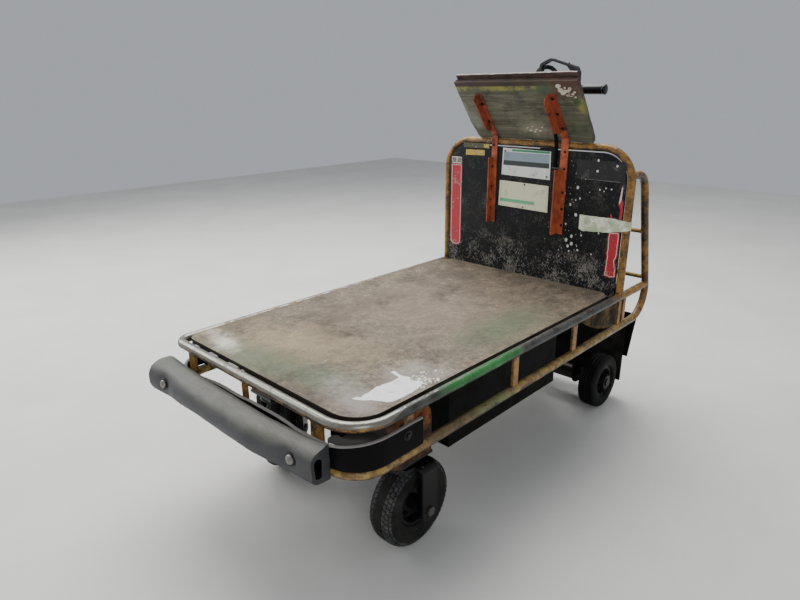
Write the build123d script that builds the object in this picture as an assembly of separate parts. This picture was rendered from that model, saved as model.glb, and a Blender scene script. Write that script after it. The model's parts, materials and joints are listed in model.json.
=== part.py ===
from build123d import *
import math
import os

# Electric platform trolley, walk-behind, in millimetres.
# +Z is up, the bumper points to -Y, the operator stands at +Y, the floor is Z = 0.
# Every place below is measured from the backrest's plane, which is Y = 0 until save() moves it.

# Tubular rails, hoops and backrest
rail_r = 13.45
rail_half = 394.0
upper_z = 512.0
lower_z = 395.0
front_y = -1263.0
# Bend radii of the right and the left front corner
upper_corner_r = (105.0, 70.0)
lower_corner_r = (85.0, 70.0)
back_top_z = 1024.0
back_corner_r = 110.0
hoop_lean = 16.5
hoop_foot_y = 256.8
hoop_foot_r = 95.0
hoop_top_r = 70.0
hoop_top_z = 938.0
hoop_split_y = 100.0
weld_gap = 0.2
cross_bar_r = 8.0
cross_bar_z = (540.0, 724.0)

# Flat posts between the two rails. Along each side: Y and width. Along the front, left and right: the way
# in from the side rail's middle, and width. The one between them: X and width.
side_posts = ((-1092.0, 25.0), (-649.0, 25.0), (-311.0, 25.0), (10.0, 18.0), (47.0, 20.0))
corner_posts = {-1: (88.0, 34.0), 1: (128.0, 42.0)}
middle_post = (-33.0, 20.0)
post_t = 8.0

# Deck and what carries it
deck_t = 18.0
deck_rise = 5.5
deck_right_gap = 23.5
deck_left_gap = 9.0
deck_front_gap = 12.5
deck_corner_r = (85.0, 40.0)
deck_notch = 32.0
bearer_t = 5.0
bearer_w = 40.0
bearer_y = (-1180.0, -1013.0, -760.0, -500.0, -240.0, -14.0)
# Lugs from the front rail to the first bearer: X and width
front_lugs = ((-318.0, 26.0), (-225.0, 42.0), (-122.0, 50.0), (-76.0, 14.0))
channel_x = 300.0
channel_size = 40.0
channel_rear_y = 180.0

# Castor beam, battery and drive
castor_x = 274.0
castor_y = -1013.0
castor_trail = 50.0
castor_angles = {"left": 38.0, "right": 0.0}
beam_half_x = 330.0
beam_front_y = -1072.0
beam_rear_y = -932.0
beam_corner_r = 40.0
beam_bottom_z = 300.0
beam_middle_z = 372.0
beam_wall = 5.0
tray_half_x = 262.0
tray_front_y = -780.0
tray_rear_y = -180.0
tray_bottom_z = 205.0
tray_wall = 4.0
tray_flange = 50.0
battery_gap = 8.0
battery_top_gap = 25.0
housing_half_x = 331.0
housing_front_y = -150.0
housing_rear_y = 150.0
# Heights of the housing's bowed lower edge: front, middle, rear
housing_edge_z = (448.0, 376.0, 350.0)
housing_wall = 3.0

# Wheels
castor_r = 130.0
castor_w = 78.0
castor_rim_r = 66.0
rear_r = 107.0
rear_w = 70.0
rear_rim_r = 62.0
rear_x = 290.0
rear_y = 130.0
axle_r = 8.0
rear_axle_r = 15.0
run_fit = 0.05
tyre_shoulder = 16.0
tyre_crown = 3.0
tyre_bead = 10.0
rim_web_half = 5.0
rim_boss_half = 8.0
rim_flange = 8.0
rim_round = 12.0
# Half widths as shares of the tyre's: at the rim, over the bead, at the shoulder, where the tread starts
# to bend, on its flat, and the rim's own
tyre_shares = (0.72, 0.98, 0.94, 0.78, 0.62)
rim_share = 0.7
fork_plate_t = 6.0
fork_side_gap = 7.0
fork_leg_depth = 28.0
fork_leg_w = 62.0
spacer_r = 14.0
crown_t = 8.0
crown_clear = 8.0
crown_front = 42.0
race_r = 40.0
race_gap = 0.3
pin_r = 14.0
nut_r = 13.0
nut_t = 9.0
hub_play = 1.0
castor_hub_r = 22.0
rear_hub_r = 28.0
rear_hub_out = 4.0
shaft_out = 9.0
head_plate_t = 8.0
hanger_x = 200.0
hanger_t = 8.0
hanger_half_w = 38.0
gearbox_r = 62.0
gearbox_half = 55.0
motor_r = 58.0
motor_z = 168.0
motor_length = 165.0

# Rear foot guard
guard_y = 252.0
guard_t = 4.0
guard_top_z = 372.0
guard_low_z = 185.0
guard_top_half = 368.0
guard_low_half = 347.0
flap_t = 8.0
flap_half = 330.0
flap_top_z = 340.0
flap_low_z = 75.0
guard_arm_z = (285.0, 335.0)

# Backrest panel
panel_t = 9.0
panel_top_gap = 3.0

# Sloping desk on its two angle brackets
desk_half = 248.0
desk_bend_z = 1049.0
desk_slope = 52.3
desk_low = -14.3
desk_high = 241.0
board_t = 18.0
desk_top_t = 8.0
desk_top_inset = 4.0
desk_top_over = 17.0
bracket_t = 4.0
bracket_leg = 190.0
# The upper rib's rounded end: back from its end and out from the flange, as shares of its reach
rib_tip = ((0.0, 0.55), (0.13, 0.87), (0.45, 1.0))
rib_run_in = 0.8
# Flat flange's low and high X, reach of the rib, bottom, end of the lower rib, start of the upper rib
brackets = {
    "left": (-167.0, -142.0, 25.0, 714.0, 965.0, 22.0),
    "right": (131.0, 160.0, 40.0, 707.0, 942.0, 22.0),
}

# Handle
column_size = 50.0
column_wall = 3.0
column_y = 125.0
column_foot_w = 90.0
column_foot_t = 6.0
handle_y = 140.0
handle_z = 1211.0
handle_r = 12.5
handle_half = 196.0
grip_r = 16.0
grip_length = 118.0
grip_cap = 6.0
head_grip_gap = 36.0
head_half_y = 32.0
head_half_z = 26.0
head_edge_r = 14.0
bow_w = 22.0
bow_t = 9.0
# Bends of the bow: X as a share of the way to the grip, height above the handlebar's middle, bend radius
bow_bends = ((-0.76, 90.0, 12.0), (-0.26, 108.0, 25.0), (0.98, 76.0, 10.0), (1.09, 58.0, 9.0))

# Belt bumper
strip_t = 10.0
strip_low_z = 409.0
strip_high_z = 475.0
strip_end_y = -1058.0
sleeve_wall = 8.0
# Sections of the sleeve: X, depth from the strip, low and high Z, radii of the front and the back corners
sleeve_sections = (
    (-380.0, 94.0, 378.0, 487.0, 44.0, 28.0),
    (-170.0, 91.0, 390.0, 474.0, 40.0, 38.0),
    (110.0, 90.0, 391.0, 472.0, 39.0, 38.0),
    (322.0, 60.0, 384.0, 474.0, 30.0, 10.0),
)
# Bolts through the sleeve: X, Z, and how far in front of the strip the head sits
bolt_places = ((-300.0, 438.0, 88.0), (258.0, 434.0, 65.0))
bolt_r = 8.0
bolt_head_r = 17.0
bolt_head_t = 4.0
bolt_play = 0.2

# Places that follow from the sizes above
front_reach = -front_y + post_t / 2 + strip_t + sleeve_sections[0][1]
rear_reach = guard_y + guard_t
back_y = (front_reach - rear_reach) / 2
bearer_top_z = upper_z - rail_r + deck_rise
channel_top_z = bearer_top_z - bearer_t
frame_low_z = channel_top_z - channel_size
deck_front_y = front_y + rail_r + deck_front_gap
panel_front_y = -rail_r + weld_gap
head_plate_z = beam_bottom_z - head_plate_t
crown_top_z = 2 * castor_r + crown_clear + crown_t
grip_start = handle_half + grip_cap - grip_length
head_half_x = grip_start - head_grip_gap


def save(name, shape):
    """Write one node's STEP file, with the origin under the middle of the whole trolley."""
    solids = [Pos(0, back_y, 0) * solid for solid in shape.solids()]
    shape = solids[0] if len(solids) == 1 else Compound(solids)
    shape.label = name
    export_step(shape, f"parts/{name}.step")


def box(x0, x1, y0, y1, z0, z1):
    return Pos((x0 + x1) / 2, (y0 + y1) / 2, (z0 + z1) / 2) * Box(x1 - x0, y1 - y0, z1 - z0)


def rod_x(x0, x1, y, z, r):
    """A round bar along X."""
    return Pos((x0 + x1) / 2, y, z) * Rot(0, 90, 0) * Cylinder(r, x1 - x0)


def rod_y(y0, y1, x, z, r):
    """A round bar along Y."""
    return Pos(x, (y0 + y1) / 2, z) * Rot(90, 0, 0) * Cylinder(r, y1 - y0)


def rod_z(z0, z1, x, y, r):
    """A round bar along Z."""
    return Pos(x, y, (z0 + z1) / 2) * Cylinder(r, z1 - z0)


def bent_tube(points, radii, r):
    """A round tube whose centre line is straight runs joined by arcs."""
    path = FilletPolyline(*points, radius=radii)
    section = Plane(origin=path @ 0, z_dir=path % 0) * Circle(r)
    return sweep(section, path=path)


def side_profile(points, x0, x1):
    """A plate cut to an outline in Y and Z, from x0 to x1."""
    outline = make_face(Polyline(*[(y, z) for y, z in points], close=True))
    return Pos(x0, 0, 0) * extrude(Plane.YZ * outline, x1 - x0)


def u_rail(z, corner_r, rear_y, r):
    """A rail that runs up one side, across the front and back along the other side."""
    right = [(rail_half, rear_y, z), (rail_half, front_y, z)]
    left = [(-rail_half, front_y, z), (-rail_half, rear_y, z)]
    return bent_tube(right + left, corner_r, r)


def hoop(side, r):
    """The rear end of a lower rail: it sweeps up, leans forward and turns in to the backrest."""
    x = side * rail_half
    lean = math.radians(hoop_lean)
    top_y = hoop_foot_y - (hoop_top_z - lower_z) * math.tan(lean)
    low = [(x, hoop_split_y, lower_z), (x, hoop_foot_y, lower_z)]
    high = [(x, top_y, hoop_top_z), (x, 0, hoop_top_z)]
    return bent_tube(low + high, (hoop_foot_r, hoop_top_r), r)


def hoop_line_y(z):
    """Where the leaning run of a hoop is at a height."""
    return hoop_foot_y - (z - lower_z) * math.tan(math.radians(hoop_lean))


def backrest(r):
    """The inverted U of the backrest, from rail to rail."""
    right = [(rail_half, 0, upper_z), (rail_half, 0, back_top_z)]
    left = [(-rail_half, 0, back_top_z), (-rail_half, 0, upper_z)]
    return bent_tube(right + left, (back_corner_r, back_corner_r), r)


cope_r = rail_r + weld_gap
upper_cope = u_rail(upper_z, upper_corner_r, hoop_foot_y, cope_r)
lower_cope = u_rail(lower_z, lower_corner_r, hoop_split_y, cope_r)
hoop_copes = [hoop(side, cope_r) for side in (-1, 1)]


def rails():
    upper = u_rail(upper_z, upper_corner_r, hoop_line_y(upper_z), rail_r)
    for cope in hoop_copes:
        upper -= cope
    upper = upper.solids().sort_by(SortBy.VOLUME)[-1]
    save("upper_rail", upper)
    save("lower_rail", u_rail(lower_z, lower_corner_r, hoop_split_y, rail_r))
    upright = backrest(cope_r)
    for side, name in ((-1, "left_hoop"), (1, "right_hoop")):
        shape = hoop(side, rail_r) - upright
        save(name, shape.solids().sort_by(SortBy.VOLUME)[-1])
    save("backrest_frame", backrest(rail_r) - upper_cope)
    bars = []
    for z in cross_bar_z:
        bar = rod_x(-rail_half, rail_half, hoop_line_y(z), z, cross_bar_r)
        for cope in hoop_copes:
            bar -= cope
        bars.append(bar.solids().sort_by(SortBy.VOLUME)[-1])
    save("cross_bars", Compound(children=bars))


def rail_posts():
    """Flat posts that hold the two rails apart."""
    half_t = post_t / 2
    posts = []
    for side in (-1, 1):
        x = side * rail_half
        for y, width in side_posts:
            posts.append(box(x - half_t, x + half_t, y - width / 2, y + width / 2, lower_z, upper_z))
    across = [(side * (rail_half - way_in), width) for side, (way_in, width) in corner_posts.items()]
    for x, width in across + [middle_post]:
        posts.append(box(x - width / 2, x + width / 2, front_y - half_t, front_y + half_t, lower_z, upper_z))
    cut = []
    for post in posts:
        between = post - upper_cope - lower_cope
        cut.append(between.solids().sort_by(SortBy.VOLUME)[-1])
    return Compound(children=cut)


def deck_board():
    """The deck, tight against the left rail and with a gap along the right one."""
    left, right = deck_left_gap - rail_half, rail_half - deck_right_gap
    rear = panel_front_y - weld_gap
    outline = Rectangle(right - left, rear - deck_front_y)
    outline = Pos((left + right) / 2, (deck_front_y + rear) / 2) * outline
    outline = chamfer(outline.vertices().group_by(Axis.Y)[-1], deck_notch)
    for end, radius in ((-1, deck_corner_r[0]), (0, deck_corner_r[1])):
        outline = fillet(outline.vertices().group_by(Axis.Y)[0].sort_by(Axis.X)[end], radius)
    return Pos(0, 0, bearer_top_z) * extrude(outline, deck_t) - upper_cope


def deck_bearers():
    """Flat bars across the frame under the deck, and lugs from the front rail to the first of them."""
    half_w = bearer_w / 2
    bars = []
    for y in bearer_y:
        bars.append(box(-rail_half, rail_half, y - half_w, y + half_w, channel_top_z, bearer_top_z))
    lug_end_y = bearer_y[0] - half_w - weld_gap
    for x, width in front_lugs:
        bars.append(box(x - width / 2, x + width / 2, front_y, lug_end_y, channel_top_z, bearer_top_z))
    cut = []
    for bar in bars:
        between = bar - upper_cope
        cut.append(between.solids().sort_by(SortBy.VOLUME)[-1])
    return Compound(children=cut)


def chassis_channels():
    """Two square tubes along the frame under the deck."""
    tubes = []
    for side in (-1, 1):
        x0 = side * channel_x - channel_size / 2
        tubes.append(box(x0, x0 + channel_size, deck_front_y, channel_rear_y, frame_low_z, channel_top_z))
    return Compound(children=tubes)


def castor_beam():
    """A pressed beam with rounded upper edges, open below, deeper where it carries the castors."""
    height = frame_low_z - beam_bottom_z
    width = beam_rear_y - beam_front_y
    deep_x = 2 * castor_x - beam_half_x

    def section(shrink):
        shape = Rectangle(width - 2 * shrink, height - shrink)
        shape = Pos(0, (height - shrink) / 2) * shape
        return fillet(shape.vertices().group_by(Axis.Y)[-1], beam_corner_r - shrink)

    outer = extrude(Plane.YZ * section(0), beam_half_x, both=True)
    inner = extrude(Plane.YZ * section(beam_wall), beam_half_x - beam_wall, both=True)
    beam = Pos(0, (beam_front_y + beam_rear_y) / 2, beam_bottom_z) * (outer - inner)
    return beam - box(-deep_x, deep_x, beam_front_y, beam_rear_y, beam_bottom_z, beam_middle_z)


def battery_tray():
    """A steel tray whose top flanges hang from the square tubes."""
    outer = box(-tray_half_x, tray_half_x, tray_front_y, tray_rear_y, tray_bottom_z, frame_low_z)
    flange = box(-tray_half_x - tray_flange, tray_half_x + tray_flange, tray_front_y, tray_rear_y,
                 frame_low_z - tray_wall, frame_low_z)
    inner = box(-tray_half_x + tray_wall, tray_half_x - tray_wall, tray_front_y + tray_wall,
                tray_rear_y - tray_wall, tray_bottom_z + tray_wall, frame_low_z)
    return outer + flange - inner


def battery():
    gap = tray_wall + battery_gap
    return box(-tray_half_x + gap, tray_half_x - gap, tray_front_y + gap, tray_rear_y - gap,
               tray_bottom_z + tray_wall, frame_low_z - battery_top_gap)


def drive_housing():
    """A sheet cover over the drive, open below, with bowed lower edges on its sides."""
    front_z, middle_z, rear_z = housing_edge_z
    corners = [(housing_front_y, front_z), (housing_front_y, frame_low_z), (housing_rear_y, frame_low_z),
               (housing_rear_y, rear_z)]
    middle = ((housing_front_y + housing_rear_y) / 2, middle_z)
    outline = make_face([Polyline(*corners), ThreePointArc(corners[-1], middle, corners[0])])
    outer = extrude(Plane.YZ * outline, housing_half_x, both=True)
    inside = housing_half_x - housing_wall
    return outer - box(-inside, inside, housing_front_y + housing_wall, housing_rear_y - housing_wall,
                       rear_z - housing_wall, frame_low_z - housing_wall)


def foot_guard():
    outline = make_face(Polyline((-guard_top_half, guard_top_z), (guard_top_half, guard_top_z),
                                 (guard_low_half, guard_low_z), (-guard_low_half, guard_low_z), close=True))
    return Pos(0, guard_y, 0) * extrude(Plane.XZ * outline, -guard_t)


def guard_flap():
    return box(-flap_half, flap_half, guard_y - flap_t, guard_y, flap_low_z, flap_top_z)


def axle_hangers():
    """Two plates that hang the rear axle from the drive housing, with an arm back to the guard."""
    top_z = frame_low_z - housing_wall
    plates = []
    for side in (-1, 1):
        x0 = side * hanger_x - hanger_t / 2
        x1 = side * hanger_x + hanger_t / 2
        body = box(x0, x1, rear_y - hanger_half_w, housing_rear_y - housing_wall, rear_r, top_z)
        eye = rod_x(x0, x1, rear_y, rear_r, hanger_half_w)
        arm = box(x0, x1, rear_y, guard_y - flap_t, *guard_arm_z)
        hole = rod_x(x0, x1, rear_y, rear_r, rear_axle_r + weld_gap)
        plates.append(body + eye + arm - hole)
    return Compound(children=plates)


def transaxle():
    """The gearbox with its axle tube, and the shaft that the rear wheels turn on."""
    inside = hanger_x - hanger_t / 2
    shaft_end = rear_x + rear_w / 2 + shaft_out
    shape = rod_x(-shaft_end, shaft_end, rear_y, rear_r, rear_axle_r)
    shape += rod_x(-inside, inside, rear_y, rear_r, 2 * rear_axle_r)
    shape += rod_x(-gearbox_half, gearbox_half, rear_y, rear_r, gearbox_r)
    shape += box(-gearbox_half, gearbox_half, rear_y - gearbox_r, rear_y, rear_r, motor_z + motor_r)
    return shape


def drive_motor():
    face_y = rear_y - gearbox_r
    return rod_y(face_y - motor_length, face_y, 0, motor_z, motor_r)


def backrest_panel():
    top_z = back_top_z - rail_r - panel_top_gap
    half = rail_half - rail_r - weld_gap
    corner_r = back_corner_r - rail_r - panel_top_gap
    outline = Rectangle(2 * half, top_z - bearer_top_z)
    outline = fillet(outline.vertices().group_by(Axis.Y)[-1], corner_r)
    return Pos(0, panel_front_y + panel_t, (top_z + bearer_top_z) / 2) * extrude(Plane.XZ * outline, panel_t)


slope = math.radians(desk_slope)


def on_slope(along, out):
    """Y and Z of a point of the desk: along its slope from the bend, and out from its underside."""
    y = -rail_r - weld_gap - along * math.cos(slope) + out * math.sin(slope)
    return y, desk_bend_z + along * math.sin(slope) + out * math.cos(slope)


def desk_layer(low, high, inner, outer, half):
    corners = [on_slope(low, inner), on_slope(high, inner), on_slope(high, outer), on_slope(low, outer)]
    return side_profile(corners, -half, half)


def bracket(name):
    """A bent angle iron: up the backrest's front, then up the underside of the desk."""
    x0, x1, reach, bottom, lower_rib_end, upper_rib_start = brackets[name]
    back = -rail_r - weld_gap
    leg = bracket_leg
    inner_bend = desk_bend_z - bracket_t * math.tan((math.pi / 2 - slope) / 2)
    flat = [(back, bottom), (back, desk_bend_z), on_slope(leg, 0), on_slope(leg, -bracket_t),
            (back - bracket_t, inner_bend), (back - bracket_t, bottom)]
    lower_rib = [(back, bottom), (back, lower_rib_end),
                 (back - reach, lower_rib_end), (back - reach, bottom)]
    upper_rib = [on_slope(upper_rib_start, 0), on_slope(leg, 0)]
    upper_rib += [on_slope(leg - reach * back_share, -reach * out_share) for back_share, out_share in rib_tip]
    upper_rib.append(on_slope(upper_rib_start + reach * rib_run_in, -reach))
    shape = side_profile(flat, x0, x1)
    shape += side_profile(lower_rib, x0, x0 + bracket_t)
    shape += side_profile(upper_rib, x0, x0 + bracket_t)
    return shape


def handle():
    """The column behind the backrest, its head, the bar with two grips and the bow over the head."""
    half = column_size / 2
    head_low = handle_z - head_half_z
    column = box(-half, half, column_y - half, column_y + half, frame_low_z, head_low)
    column -= box(-half + column_wall, half - column_wall, column_y - half + column_wall,
                  column_y + half - column_wall, frame_low_z, head_low)
    foot = box(-column_foot_w / 2, column_foot_w / 2, column_y - half, housing_rear_y, frame_low_z,
               frame_low_z + column_foot_t)
    save("handle_column", column + foot)
    head = box(-head_half_x, head_half_x, handle_y - head_half_y, handle_y + head_half_y,
               head_low, handle_z + head_half_z)
    head = fillet(head.edges().filter_by(Axis.X), head_edge_r)
    bar_hole = rod_x(-head_half_x, head_half_x, handle_y, handle_z, handle_r + weld_gap)
    save("control_head", head - bar_hole)
    save("handlebar", rod_x(-handle_half, handle_half, handle_y, handle_z, handle_r))
    grips = []
    hole_half = handle_half + weld_gap
    grip_hole = rod_x(-hole_half, hole_half, handle_y, handle_z, handle_r + weld_gap)
    for side in (-1, 1):
        end = side * (handle_half + grip_cap)
        start = end - side * grip_length
        grips.append(rod_x(min(start, end), max(start, end), handle_y, handle_z, grip_r) - grip_hole)
    save("handle_grips", Compound(children=grips))
    points = [(share * grip_start, handle_y, handle_z + rise) for share, rise, radius in bow_bends]
    ends = [(share * grip_start, handle_y, handle_z) for share in (bow_bends[0][0], bow_bends[-1][0])]
    path = FilletPolyline(ends[0], *points, ends[1], radius=[radius for share, rise, radius in bow_bends])
    section = Plane(origin=path @ 0, z_dir=path % 0, x_dir=(0, 1, 0)) * Rectangle(bow_w, bow_t)
    bow = sweep(section, path=path)
    bow -= rod_x(-handle_half, handle_half, handle_y, handle_z, handle_r + weld_gap)
    bow -= rod_x(grip_start - weld_gap, handle_half, handle_y, handle_z, grip_r + weld_gap)
    save("control_bow", bow.solids().sort_by(SortBy.VOLUME)[-1])


def bumper():
    """A belt strip round the front corners, and a folded belt loop in front of it on two bolts."""
    reach = post_t / 2 + strip_t / 2
    points = [(rail_half + reach, strip_end_y), (rail_half + reach, front_y - reach),
              (-rail_half - reach, front_y - reach), (-rail_half - reach, strip_end_y)]
    path = FilletPolyline(*points, radius=[corner_r + reach for corner_r in lower_corner_r])
    strip = Pos(0, 0, strip_low_z) * extrude(trace(path, strip_t), strip_high_z - strip_low_z)
    back = front_y - post_t / 2 - strip_t

    def loop(shrink):
        """The sleeve's outer body, or the hollow inside its wall."""
        sections = []
        for x, depth, low, high, front_r, back_r in sleeve_sections:
            shape = Rectangle(depth - 2 * shrink, high - low - 2 * shrink)
            shape = Pos(back - depth / 2, (low + high) / 2) * shape
            shape = fillet(shape.vertices().group_by(Axis.X)[0], front_r - shrink)
            shape = fillet(shape.vertices().group_by(Axis.X)[-1], back_r - shrink)
            sections.append(Pos(x, 0, 0) * (Plane.YZ * shape))
        return loft(sections, ruled=True)

    sleeve = loop(0) - loop(sleeve_wall)
    bolts = []
    for x, z, reach in bolt_places:
        seat = back - reach
        shank_end = front_y - post_t / 2
        hole = rod_y(seat, shank_end, x, z, bolt_r + bolt_play)
        strip -= hole
        sleeve -= hole + rod_y(seat - sleeve_sections[0][1], seat, x, z, bolt_head_r + bolt_play)
        head = rod_y(seat - bolt_head_t, seat, x, z, bolt_head_r)
        bolts.append(rod_y(seat, shank_end, x, z, bolt_r) + head)
    save("bumper_strip", strip)
    save("bumper_sleeve", sleeve)
    save("bumper_bolts", Compound(children=bolts))


def wheel_pieces(radius, width, rim_r, bore_r, hub_r, hub_low, hub_high):
    """Tyre and rim of one wheel about the X axis, its middle at X = 0."""
    half = width / 2
    foot, bead, shoulder, bend, flat = [half * share for share in tyre_shares]
    tyre_outline = [(rim_r, -foot), (rim_r + tyre_bead, -bead)]
    tyre_outline += [((radius + rim_r) / 2, -half), (radius - tyre_shoulder, -shoulder)]
    tyre_outline += [(radius - tyre_crown, -bend), (radius, -flat)]
    tyre_outline += [(r, -x) for r, x in reversed(tyre_outline)]
    tyre = revolve(make_face(Plane.XY * Polyline(*[(x, r) for r, x in tyre_outline], close=True)), Axis.X)
    rim_out = rim_r - weld_gap
    rim_half = half * rim_share
    face = [(rim_boss_half, hub_r), (rim_web_half, hub_r + rim_round), (rim_web_half, rim_out - rim_round),
            (rim_half, rim_out - rim_flange), (rim_half, rim_out)]
    profile = [(hub_low, bore_r), (hub_high, bore_r), (hub_high, hub_r)] + face
    profile += [(-x, r) for x, r in reversed(face)] + [(hub_low, hub_r)]
    rim = revolve(make_face(Polyline(*profile, close=True)), Axis.X)
    return tyre, rim


def fork():
    """A castor fork about its swivel axis: a crown plate with its race, and two pan-shaped legs."""
    leg_in = castor_w / 2 + fork_side_gap
    leg_out = leg_in + fork_leg_depth
    crown_low_z = crown_top_z - crown_t
    crown_rear = castor_trail + fork_leg_w / 2

    def leg(shrink):
        half = fork_leg_w / 2 - shrink
        top = Line((castor_trail - half, crown_low_z), (castor_trail + half, crown_low_z))
        return Plane.YZ * make_hull((Pos(castor_trail, castor_r) * Circle(half)).edges() + top.edges())

    shape = box(-leg_out, leg_out, -crown_front, crown_rear, crown_low_z, crown_top_z)
    shape += rod_z(crown_top_z, head_plate_z - race_gap, 0, 0, race_r)
    shape -= rod_z(crown_low_z, head_plate_z, 0, 0, pin_r + run_fit)
    pan = fork_leg_depth - fork_plate_t
    shape += Pos(leg_in, 0, 0) * (extrude(leg(0), fork_leg_depth) - extrude(leg(fork_plate_t), pan))
    shape += Pos(-leg_in, 0, 0) * (extrude(leg(0), -fork_leg_depth) - extrude(leg(fork_plate_t), -pan))
    return shape - rod_x(-leg_out, leg_out, castor_trail, castor_r, axle_r + weld_gap)


def castors():
    """Two swivelling front castors: fixed heads, forks with their axle bolts, and wheels."""
    heads = []
    leg_in = castor_w / 2 + fork_side_gap
    leg_out = leg_in + fork_leg_depth
    plate_inside = leg_out - fork_plate_t
    hub = leg_in - hub_play
    for side, name in ((-1, "left"), (1, "right")):
        half_x = beam_half_x - castor_x
        x = side * castor_x
        plate = box(x - half_x, x + half_x, beam_front_y, beam_rear_y, head_plate_z, beam_bottom_z)
        heads.append(plate + rod_z(crown_top_z - crown_t, head_plate_z, x, castor_y, pin_r))

        place = Pos(x, castor_y, 0)
        turn = place * Rot(0, 0, castor_angles[name])
        save(f"{name}_fork", turn * fork())
        axle = rod_x(-leg_out, leg_out, castor_trail, castor_r, axle_r)
        for end in (-1, 1):
            spacer = sorted((end * leg_in, end * plate_inside))
            nut = sorted((end * leg_out, end * (leg_out + nut_t)))
            axle += rod_x(*spacer, castor_trail, castor_r, spacer_r)
            axle += rod_x(*nut, castor_trail, castor_r, nut_r)
        save(f"{name}_castor_axle", turn * axle)
        tyre, rim = wheel_pieces(castor_r, castor_w, castor_rim_r, axle_r + run_fit, castor_hub_r, -hub, hub)
        wheel = turn * Pos(0, castor_trail, castor_r)
        save(f"{name}_castor_tyre", wheel * tyre)
        save(f"{name}_castor_rim", wheel * rim)
    save("castor_heads", Compound(children=heads))


def rear_wheels():
    hub_in = hanger_x + hanger_t / 2 + hub_play - rear_x
    hub_out = rear_w / 2 + rear_hub_out
    bore_r = rear_axle_r + run_fit
    for side, name in ((-1, "left"), (1, "right")):
        tyre, rim = wheel_pieces(rear_r, rear_w, rear_rim_r, bore_r, rear_hub_r, hub_in, hub_out)
        turn = Rot(0, 0, 0 if side == 1 else 180)
        place = Pos(side * rear_x, rear_y, rear_r) * turn
        save(f"{name}_rear_tyre", place * tyre)
        save(f"{name}_rear_rim", place * rim)


os.makedirs("parts", exist_ok=True)
rails()
save("rail_posts", rail_posts())
save("deck_board", deck_board())
save("deck_bearers", deck_bearers())
save("chassis_channels", chassis_channels())
save("castor_beam", castor_beam())
save("battery_tray", battery_tray())
save("battery", battery())
save("drive_housing", drive_housing())
save("foot_guard", foot_guard())
save("guard_flap", guard_flap())
save("axle_hangers", axle_hangers())
save("transaxle", transaxle())
save("drive_motor", drive_motor())
save("backrest_panel", backrest_panel())
save("desk_board", desk_layer(desk_low, desk_high, 0, board_t, desk_half))
save("desk_top", desk_layer(desk_low + desk_top_inset, desk_high + desk_top_over, board_t,
                            board_t + desk_top_t, desk_half - desk_top_inset))
for bracket_name in brackets:
    save(f"{bracket_name}_bracket", bracket(bracket_name))
handle()
bumper()
castors()
rear_wheels()
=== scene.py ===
import json
import math
import random

import bpy
import bmesh
from mathutils import Matrix, Vector, noise


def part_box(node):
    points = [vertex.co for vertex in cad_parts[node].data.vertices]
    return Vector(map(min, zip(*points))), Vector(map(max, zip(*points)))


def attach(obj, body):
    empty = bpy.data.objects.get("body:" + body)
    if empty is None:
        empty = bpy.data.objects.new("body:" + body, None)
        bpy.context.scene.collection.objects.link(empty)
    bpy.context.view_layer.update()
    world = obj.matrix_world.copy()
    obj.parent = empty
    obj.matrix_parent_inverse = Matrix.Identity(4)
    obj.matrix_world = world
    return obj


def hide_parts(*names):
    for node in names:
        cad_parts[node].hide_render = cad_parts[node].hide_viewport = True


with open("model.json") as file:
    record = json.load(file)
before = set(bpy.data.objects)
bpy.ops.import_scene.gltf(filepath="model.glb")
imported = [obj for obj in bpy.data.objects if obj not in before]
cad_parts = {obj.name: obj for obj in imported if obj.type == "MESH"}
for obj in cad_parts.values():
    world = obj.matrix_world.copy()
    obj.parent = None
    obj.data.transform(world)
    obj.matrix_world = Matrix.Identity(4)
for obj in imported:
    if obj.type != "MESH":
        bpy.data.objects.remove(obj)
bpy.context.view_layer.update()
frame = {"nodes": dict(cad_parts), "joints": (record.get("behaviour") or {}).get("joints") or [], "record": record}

nodes = frame["nodes"]
joints = {joint["name"]: joint for joint in frame["joints"]}
MM = 0.001
# Y of the backrest's plane
BACK = (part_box("backrest_frame")[0].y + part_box("backrest_frame")[1].y) / 2

# Camera, found from the frame's edges in the photograph
CAMERA_PLACE = (1.2508, -1.4495, 1.2144)
CAMERA_YAW = 43.984
CAMERA_PITCH = 19.065
CAMERA_ROLL = -0.507
CAMERA_LENS = 27.31

OCHRE = "A07532"
OCHRE_DARK = "765628"
RUST = "4A2F1E"
SOOT = "151311"
STEEL = "87847B"

GREY = (0.5, 0.5, 0.5, 1.0)
ONES = (1.0, 1.0, 1.0)
NONE = (0.0, 0.0, 0.0)
X_AXIS = (1.0, 0.0, 0.0)
Y_AXIS = (0.0, 1.0, 0.0)
Z_AXIS = (0.0, 0.0, 1.0)


def tint(code, strength=1.0):
    """A colour given as six hexadecimal digits, in linear values multiplied by strength."""
    parts = [int(code[i:i + 2], 16) / 255 for i in (0, 2, 4)]
    linear = [p / 12.92 if p < 0.04045 else ((p + 0.055) / 1.055) ** 2.4 for p in parts]
    return [p * strength for p in linear] + [1.0]


def plug(tree, value, socket):
    """Links a value to an input, or sets the input to a number or a colour."""
    if isinstance(value, Value):
        tree.links.new(value.socket, socket)
    else:
        socket.default_value = tint(value) if isinstance(value, str) else value


class Value:
    """An output of a node, with the sums that its tree can do on it."""

    def __init__(self, graph, socket):
        self.graph = graph
        self.socket = socket

    def __add__(self, other):
        return self.graph.math("ADD", self, other)

    def __sub__(self, other):
        return self.graph.math("SUBTRACT", self, other)

    def __rsub__(self, other):
        return self.graph.math("SUBTRACT", other, self)

    def __mul__(self, other):
        return self.graph.math("MULTIPLY", self, other)


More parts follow.
